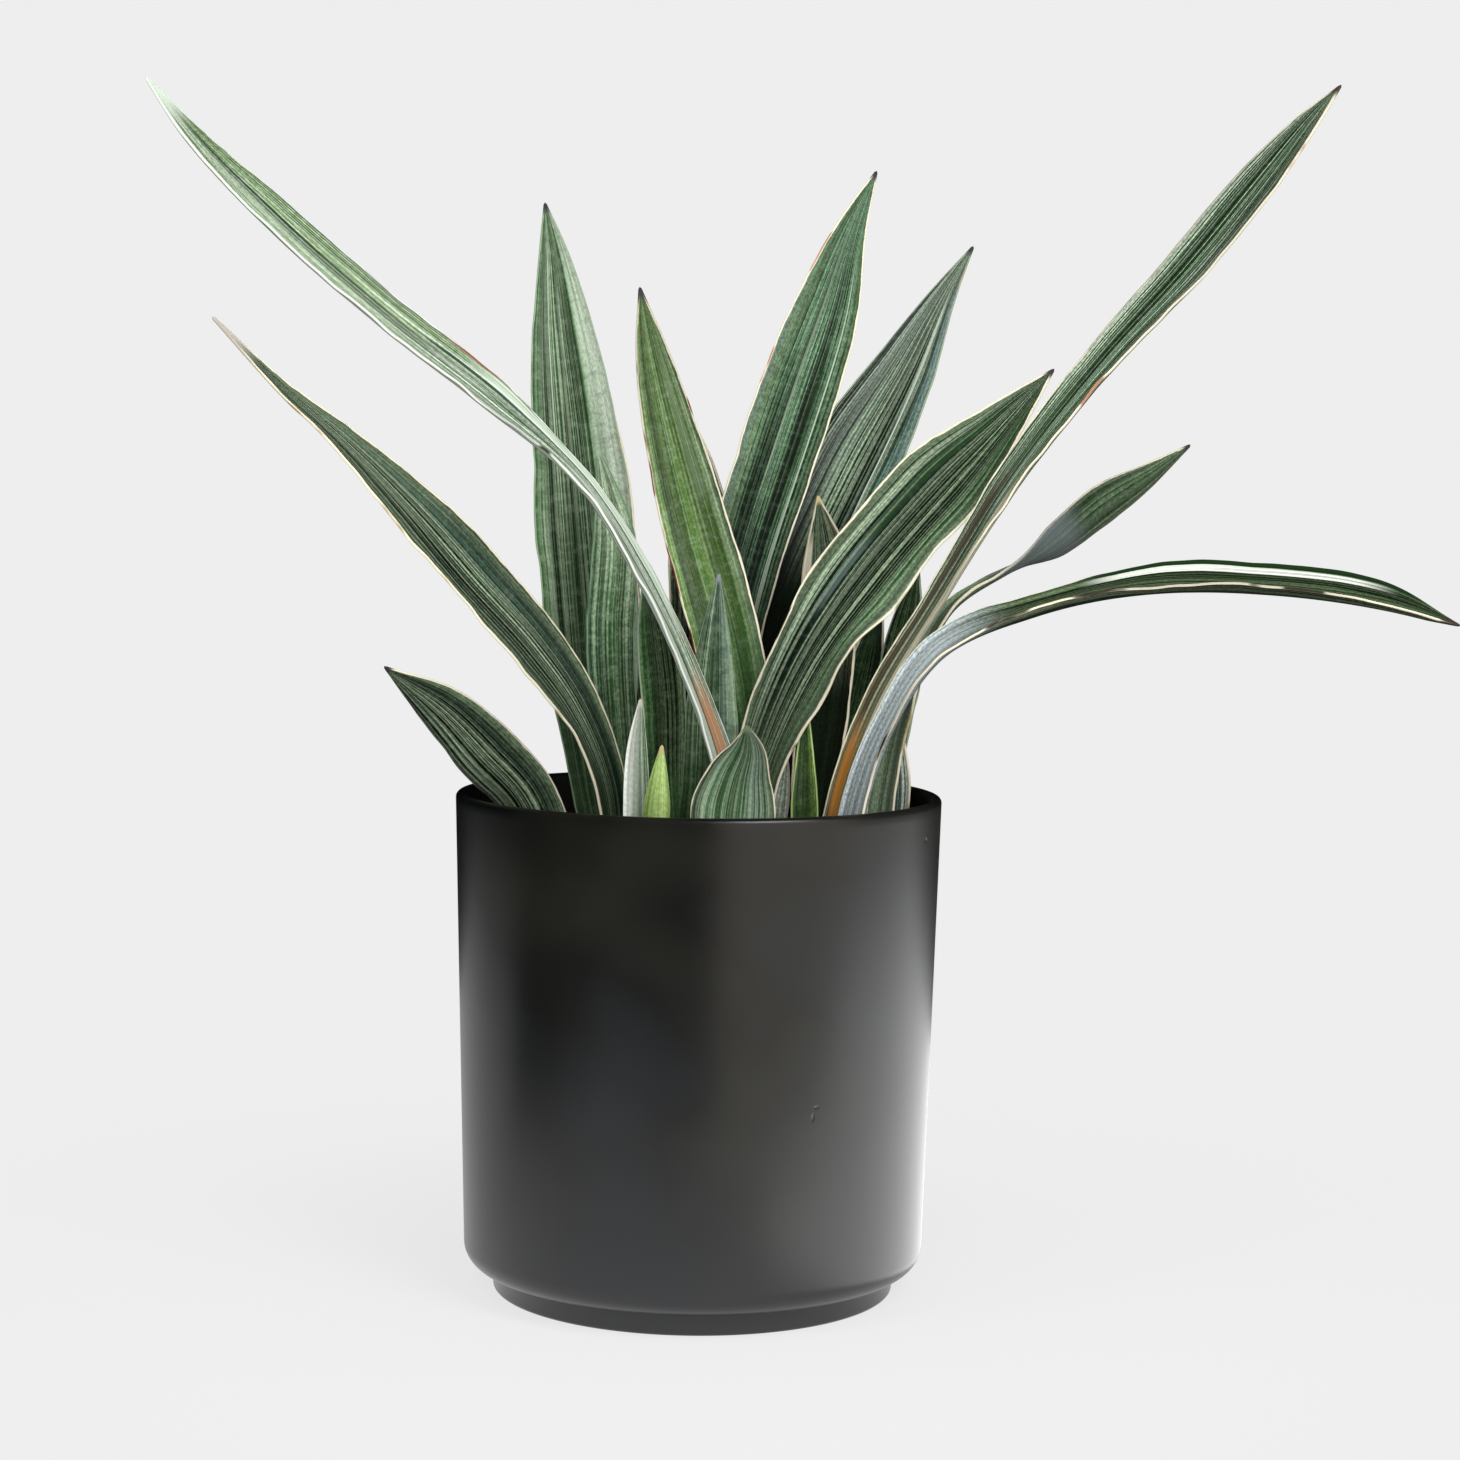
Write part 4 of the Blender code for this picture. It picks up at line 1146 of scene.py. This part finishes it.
@dataclass(frozen=True)
class PottingMix:
    """Peat with bark chips that fills the pot to below its lip.

    Attributes:
        wall_height: height of the surface at the wall.
        middle_height: height of the surface in the middle.
        radius: reach of the surface.
        depth: how far down the filling goes.
        chip: length of a bark chip.
        chips: number of chips in a square metre.
        crumb: size of a crumb.
        crumbs: number of crumbs in a square metre.
    """

    wall_height: float = 178.0
    middle_height: float = 183.0
    radius: float = 94.5
    depth: float = 26.0
    chip: float = 7.5
    chips: float = 16000.0
    crumb: float = 3.0
    crumbs: float = 42000.0

    BUMP = 0.5  # height of the surface's gentle bumps
    POLES = (30.0, 3.0)  # radius of the ring next to the middle, underneath and on top
    RINGS, SIDES = 46, 160

    def surface(self, x: float, y: float) -> float:
        """The height of the uneven surface at a place."""
        share = min(1.0, math.hypot(x, y) / self.radius)
        swell = self.middle_height + (self.wall_height - self.middle_height) * share**2
        bumps = (
            math.sin(x * 0.21 + 1.0) * math.sin(y * 0.19 + 2.0)
            + 0.6 * math.sin(x * 0.47 + y * 0.31)
            + 0.4 * math.sin(x * 0.83 - y * 0.71 + 0.5)
        )
        return swell + self.BUMP * bumps

    def mesh(self) -> bpy.types.Mesh:
        """The filling as a closed body with a bumpy top."""
        low = self.wall_height - self.depth
        under, over = self.POLES
        top = [(radius, 0.0) for radius in np.linspace(self.radius, over, self.RINGS)]
        mesh = turned("potting_mix_surface", [(under, low), (self.radius - 2, low), *top], self.SIDES)
        # the top was turned at height 0, and is lifted to the surface here
        for vert in mesh.vertices:
            if vert.co.z < low * MM - 1e-6:
                vert.co.z = self.surface(vert.co.x / MM, vert.co.y / MM) * MM
        return mesh

    def scatter(self) -> bpy.types.NodeTree:
        """Nodes that strew small lumps over a surface, sunk a little into it.

        Returns:
            The tree, with the size, spread, flatness, seed and finish as named inputs.
        """
        tree = bpy.data.node_groups.new("strewn_bits", "GeometryNodeTree")
        ports = {
            "Geometry": "Geometry",
            "Bit size": "Float",
            "Bits per square metre": "Float",
            "Flatness": "Float",
            "Seed": "Int",
            "Finish": "Material",
        }
        for name, kind in ports.items():
            tree.interface.new_socket(name=name, in_out="INPUT", socket_type="NodeSocket" + kind)
        tree.interface.new_socket(name="Geometry", in_out="OUTPUT", socket_type="NodeSocketGeometry")
        inside = add(tree, "NodeGroupInput").outputs

        def drawn(low: tuple, high: tuple) -> bpy.types.NodeSocket:
            """A random vector for each bit, between two corners."""
            inputs = {0: low, 1: high, "Seed": inside["Seed"]}
            return add(tree, "FunctionNodeRandomValue", inputs, data_type="FLOAT_VECTOR").outputs[0]

        # only the top side is strewn
        up = add(tree, "ShaderNodeSeparateXYZ", {0: add(tree, "GeometryNodeInputNormal")}).outputs[2]
        inputs = {
            "Mesh": inside["Geometry"],
            "Selection": maths(tree, "GREATER_THAN", up, 0.5),
            "Density": inside["Bits per square metre"],
            "Seed": inside["Seed"],
        }
        spots = add(tree, "GeometryNodeDistributePointsOnFaces", inputs)
        # one lump, knocked out of round by noise
        lump = add(tree, "GeometryNodeMeshIcoSphere", {"Radius": 0.5, "Subdivisions": 2})
        place = add(tree, "GeometryNodeInputPosition")
        rough = add(tree, "ShaderNodeTexNoise", {"Vector": place, "Scale": 2.4, "Detail": 1.0})
        push = ramp(tree, rough, 0.0, 1.0, 0.35, 1.65, "LINEAR")
        moved = add(tree, "ShaderNodeVectorMath", {0: place, 3: push}, operation="SCALE")
        stone = add(tree, "GeometryNodeSetPosition", {"Geometry": lump, "Position": moved})
        spin = drawn((-0.5, -0.5, 0.0), (0.5, 0.5, 6.283))
        girth = drawn((0.55, 0.3, 0.5), (1.3, 0.8, 1.0))
        squash = add(tree, "ShaderNodeCombineXYZ", {0: 1.0, 1: 1.0, 2: inside["Flatness"]})
        shaped = add(tree, "ShaderNodeVectorMath", {0: girth, 1: squash}, operation="MULTIPLY")
        scale = add(tree, "ShaderNodeVectorMath", {0: shaped, 3: inside["Bit size"]}, operation="SCALE")
        inputs = {"Points": spots.outputs["Points"], "Instance": stone, "Rotation": spin, "Scale": scale}
        strewn = add(tree, "GeometryNodeInstanceOnPoints", inputs)
        real = add(tree, "GeometryNodeRealizeInstances", {0: strewn})
        dressed = add(tree, "GeometryNodeSetMaterial", {"Geometry": real, "Material": inside["Finish"]})
        add(tree, "NodeGroupOutput", {0: dressed})
        return tree

    def strew(self, name: str, ground: bpy.types.Mesh, values: dict) -> bpy.types.Mesh:
        """Runs the scatter on the surface and keeps the bits as a plain mesh.

        Args:
            name: the mesh's name.
            ground: the surface that they lie on.
            values: what goes into the tree's named inputs.

        Returns:
            The bits alone.
        """
        carrier = placed(name + "_carrier", ground)
        modifier = carrier.modifiers.new("strewn_bits", "NODES")
        modifier.node_group = self.scatter()
        ports = modifier.node_group.interface.items_tree
        sockets = {port.name: port.identifier for port in ports if port.in_out == "INPUT"}
        for key, value in values.items():
            modifier[sockets[key]] = value
        graph = bpy.context.evaluated_depsgraph_get()
        mesh = bpy.data.meshes.new_from_object(carrier.evaluated_get(graph))
        mesh.name = name
        bpy.data.objects.remove(carrier, do_unlink=True)
        return mesh

    def build(self) -> None:
        """The surface, its bark chips and its crumbs."""
        ground = self.mesh()
        peat = BarkMix("damp_peat", ("#17110d", "#2a1f18", "#3c2e24"), 1.2).material()
        bark = BarkMix("composted_bark", ("#2b1d14", "#4a3424", "#6b5038"), 2.0).material()
        for name, size, spread, flatness, seed, finish in (
            ("potting_mix_chips", self.chip, self.chips, 0.45, 4, bark),
            ("potting_mix_crumbs", self.crumb, self.crumbs, 0.9, 9, peat),
        ):
            values = {
                "Bit size": size * MM,
                "Bits per square metre": spread,
                "Flatness": flatness,
                "Seed": seed,
                "Finish": finish,
            }
            add_piece(name, self.strew(name, ground, values), finish, Slot.MIX)
        add_piece("potting_mix_surface", ground, peat, Slot.MIX, "potting_mix")


# Studio


@dataclass(frozen=True)
class EvenGlow:
    """An even glow that needs no light, for what stands round the object.

    The eye gets a flat pale tone and, on the floor, a faint soft shadow round the pot.

    Attributes:
        name: the material's name.
        colour: its hex colour.
        strength: how bright it looks, where 1 is the colour itself.
        shadow: share of matt paint in the middle, which takes a shadow.
    """

    name: str
    colour: str
    strength: float = 1.0
    shadow: float = 0.0

    NEAR, FAR = 0.1, 0.45  # metres from the middle, where the paint begins to fade and where it is gone

    def material(self) -> bpy.types.Material:
        """Builds the glow."""
        made, tree, _ = painted(self.name)
        tree.nodes.clear()
        surface = add(tree, "ShaderNodeEmission", {"Color": linear(self.colour), "Strength": self.strength})
        if self.shadow:
            place = add(tree, "ShaderNodeTexCoord").outputs["Object"]
            away = add(tree, "ShaderNodeVectorMath", {0: place}, operation="LENGTH").outputs["Value"]
            share = ramp(tree, away, self.NEAR, self.FAR, self.shadow, 0.0)
            paint = add(tree, "ShaderNodeBsdfDiffuse", {"Color": (0.9, 0.9, 0.9, 1.0)})
            surface = add(tree, "ShaderNodeMixShader", {0: share, 1: surface, 2: paint})
        add(tree, "ShaderNodeOutputMaterial", {"Surface": surface})
        return made


def add_prop(
    mesh: bpy.types.Mesh, finish: EvenGlow, *unseen: str, glazed: bpy.types.Collection | None = None
) -> None:
    """Puts something in the scene that belongs to the studio and not to the object.

    Args:
        mesh: its mesh, already in place, which also names it.
        finish: its glow.
        unseen: the kinds of rays that pass it by.
        glazed: the only things that it shines on, or None where that isn't limited.
    """
    obj = placed(mesh.name, mesh)
    mesh.materials.append(finish.material())
    for rays in unseen:
        setattr(obj, "visible_" + rays, False)
    if glazed:
        obj.light_linking.receiver_collection = glazed


@dataclass(frozen=True)
class SoftLight:
    """One soft box.

    Attributes:
        name: the lamp's name.
        place: where it stands, in metres.
        aim: what it points at, in metres.
        size: its width and height, in metres.
        power: its power in watts.
        mirrored: whether the glaze and the wax show its reflection.
    """

    name: str
    place: tuple
    aim: tuple
    size: tuple
    power: float
    mirrored: bool = True

    def build(self) -> None:
        """Hangs the lamp."""
        lamp = bpy.data.lights.new(self.name, "AREA")
        lamp.shape = "RECTANGLE"
        lamp.size, lamp.size_y = self.size
        lamp.energy = self.power
        obj = placed(self.name, lamp)
        away = Vector(self.place) - Vector(self.aim)
        obj.matrix_world = Matrix.Translation(self.place) @ away.to_track_quat("Z", "Y").to_matrix().to_4x4()
        obj.visible_camera = False
        obj.visible_glossy = self.mirrored


@dataclass(frozen=True)
class PaleCard:
    """A pale card that shows only as a soft reflection in the glaze.

    Attributes:
        name: the card's name.
        corner: its first corner, in metres.
        first: its first side, in metres.
        second: its second side, in metres.
        glow: how bright it looks, where 1 is white.
        tint: its hex colour.
    """

    name: str
    corner: tuple
    first: tuple
    second: tuple
    glow: float
    tint: str = "#ffffff"

    def build(self, glazed: bpy.types.Collection) -> None:
        """Lays the card and hides it from everything but the glaze's reflections.

        Args:
            glazed: what it shines on.
        """
        a, u, v = Vector(self.corner), Vector(self.first), Vector(self.second)
        mesh = meshed(self.name, [a, a + u, a + u + v, a + v], [(0, 1, 2, 3)])
        glow = EvenGlow(self.name + "_card", self.tint, self.glow)
        add_prop(mesh, glow, "camera", "diffuse", "shadow", "transmission", "volume_scatter", glazed=glazed)


@dataclass(frozen=True)
class Studio:
    """Pale floor, even surroundings, soft boxes, and the camera at the photograph's angle.

    Attributes:
        pale: tone of the floor and the surroundings.
        camera_place: where the camera stands, in metres.
        pitch: how far it looks down, in degrees.
        roll: how far it leans, in degrees.
        lens: focal length for a 36 mm sensor.
        ambient: strength of the even light from all round.
        shadow: strength of the shadow that the floor takes.
        reach: half the floor's width, in metres.
        shell: radius of the backdrop, in metres.
        lights: the soft boxes.
        cards: the pale cards that the glaze reflects.
    """

    pale: str = "#eeeeee"
    camera_place: tuple = (0.0124, -1.300, 0.338)
    pitch: float = 4.66
    roll: float = 0.85
    lens: float = 78.04
    ambient: float = 0.5
    shadow: float = 0.16
    reach: float = 12.0
    shell: float = 18.0
    lights: tuple = (
        SoftLight("key_right", (1.0, -1.3, 1.6), (0.0, 0.0, 0.3), (1.0, 1.0), 28.0),
        SoftLight("fill_left", (-1.3, -1.2, 1.3), (0.0, 0.0, 0.3), (0.9, 0.9), 12.0, False),
        SoftLight("fill_front", (0.1, -1.7, 0.7), (0.0, 0.0, 0.25), (0.9, 0.9), 13.0, False),
    )
    cards: tuple = (
        PaleCard("floor_card_right", (0.11, -0.25, -0.002), (1.2, 0.0, 0.0), (0.0, 0.82, 0.0), 3.2),
        PaleCard("floor_card_left", (-0.9, 0.0, -0.002), (0.79, 0.0, 0.0), (0.0, 0.72, 0.0), 0.9),
        PaleCard("floor_card_front", (-0.4, -0.5, -0.004), (1.1, 0.0, 0.0), (0.0, 0.55, 0.0), 1.0),
        PaleCard("wall_card_front", (0.22, -1.3, -0.3), (0.83, 0.95, 0.0), (0.0, 0.0, 1.1), 1.2, "#fff9e8"),
        PaleCard("wall_card_right", (1.05, -0.35, -0.3), (0.05, 1.0, 0.0), (0.0, 0.0, 1.1), 0.1),
    )

    def floor(self) -> None:
        """A wide floor of the surroundings' own tone, which takes only a faint shadow."""
        reach = self.reach
        corners = [(-reach, -reach, 0.0), (reach, -reach, 0.0), (reach, reach, 0.0), (-reach, reach, 0.0)]
        glow = EvenGlow("pale_floor", self.pale, shadow=self.shadow)
        add_prop(meshed("studio_floor", corners, [(0, 1, 2, 3)]), glow, "diffuse", "glossy")

    def backdrop(self) -> None:
        """A pale shell far behind everything, which is only seen and gives no light of its own."""
        shape = bmesh.new()
        bmesh.ops.create_icosphere(shape, subdivisions=4, radius=self.shell)
        mesh = bpy.data.meshes.new("studio_backdrop")
        shape.to_mesh(mesh)
        shape.free()
        glow = EvenGlow("pale_backdrop", self.pale)
        add_prop(mesh, glow, "diffuse", "glossy", "shadow", "transmission", "volume_scatter")

    def surroundings(self) -> None:
        """An even soft light from all round."""
        world = bpy.data.worlds.new("soft_surroundings")
        world.use_nodes = True
        background = world.node_tree.nodes["Background"].inputs
        background["Color"].default_value = linear(self.pale)
        background["Strength"].default_value = self.ambient
        scene = bpy.context.scene
        scene.world = world
        world.cycles_visibility.glossy = False
        scene.view_settings.view_transform = "Standard"
        scene.view_settings.look = "None"

    def camera(self) -> None:
        """The camera, with its slight lean."""
        data = bpy.data.cameras.new("camera")
        data.lens = self.lens
        data.clip_end = 200.0
        obj = placed("camera", data)
        obj.matrix_world = (
            Matrix.Translation(self.camera_place)
            @ Matrix.Rotation(math.radians(90 - self.pitch), 4, "X")
            @ Matrix.Rotation(math.radians(self.roll), 4, "Z")
        )
        bpy.context.scene.camera = obj

    def build(self, pot: bpy.types.Object) -> None:
        """Sets up the whole studio.

        Args:
            pot: the glazed piece that the cards shine on.
        """
        self.floor()
        self.backdrop()
        self.surroundings()
        self.camera()
        for light in self.lights:
            light.build()
        glazed = bpy.data.collections.new("glazed")
        glazed.objects.link(pot)
        for card in self.cards:
            card.build(glazed)


def main() -> None:
    """Builds the studio, the pot, its filling and every blade."""
    logging.basicConfig(level=logging.INFO, format="%(name)s: %(message)s")
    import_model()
    pot = Pot().build()
    Studio().build(pot)
    PottingMix().build()
    for number, blade in enumerate(BLADES, 1):
        blade.build(number)


if __name__ == "__main__":
    main()
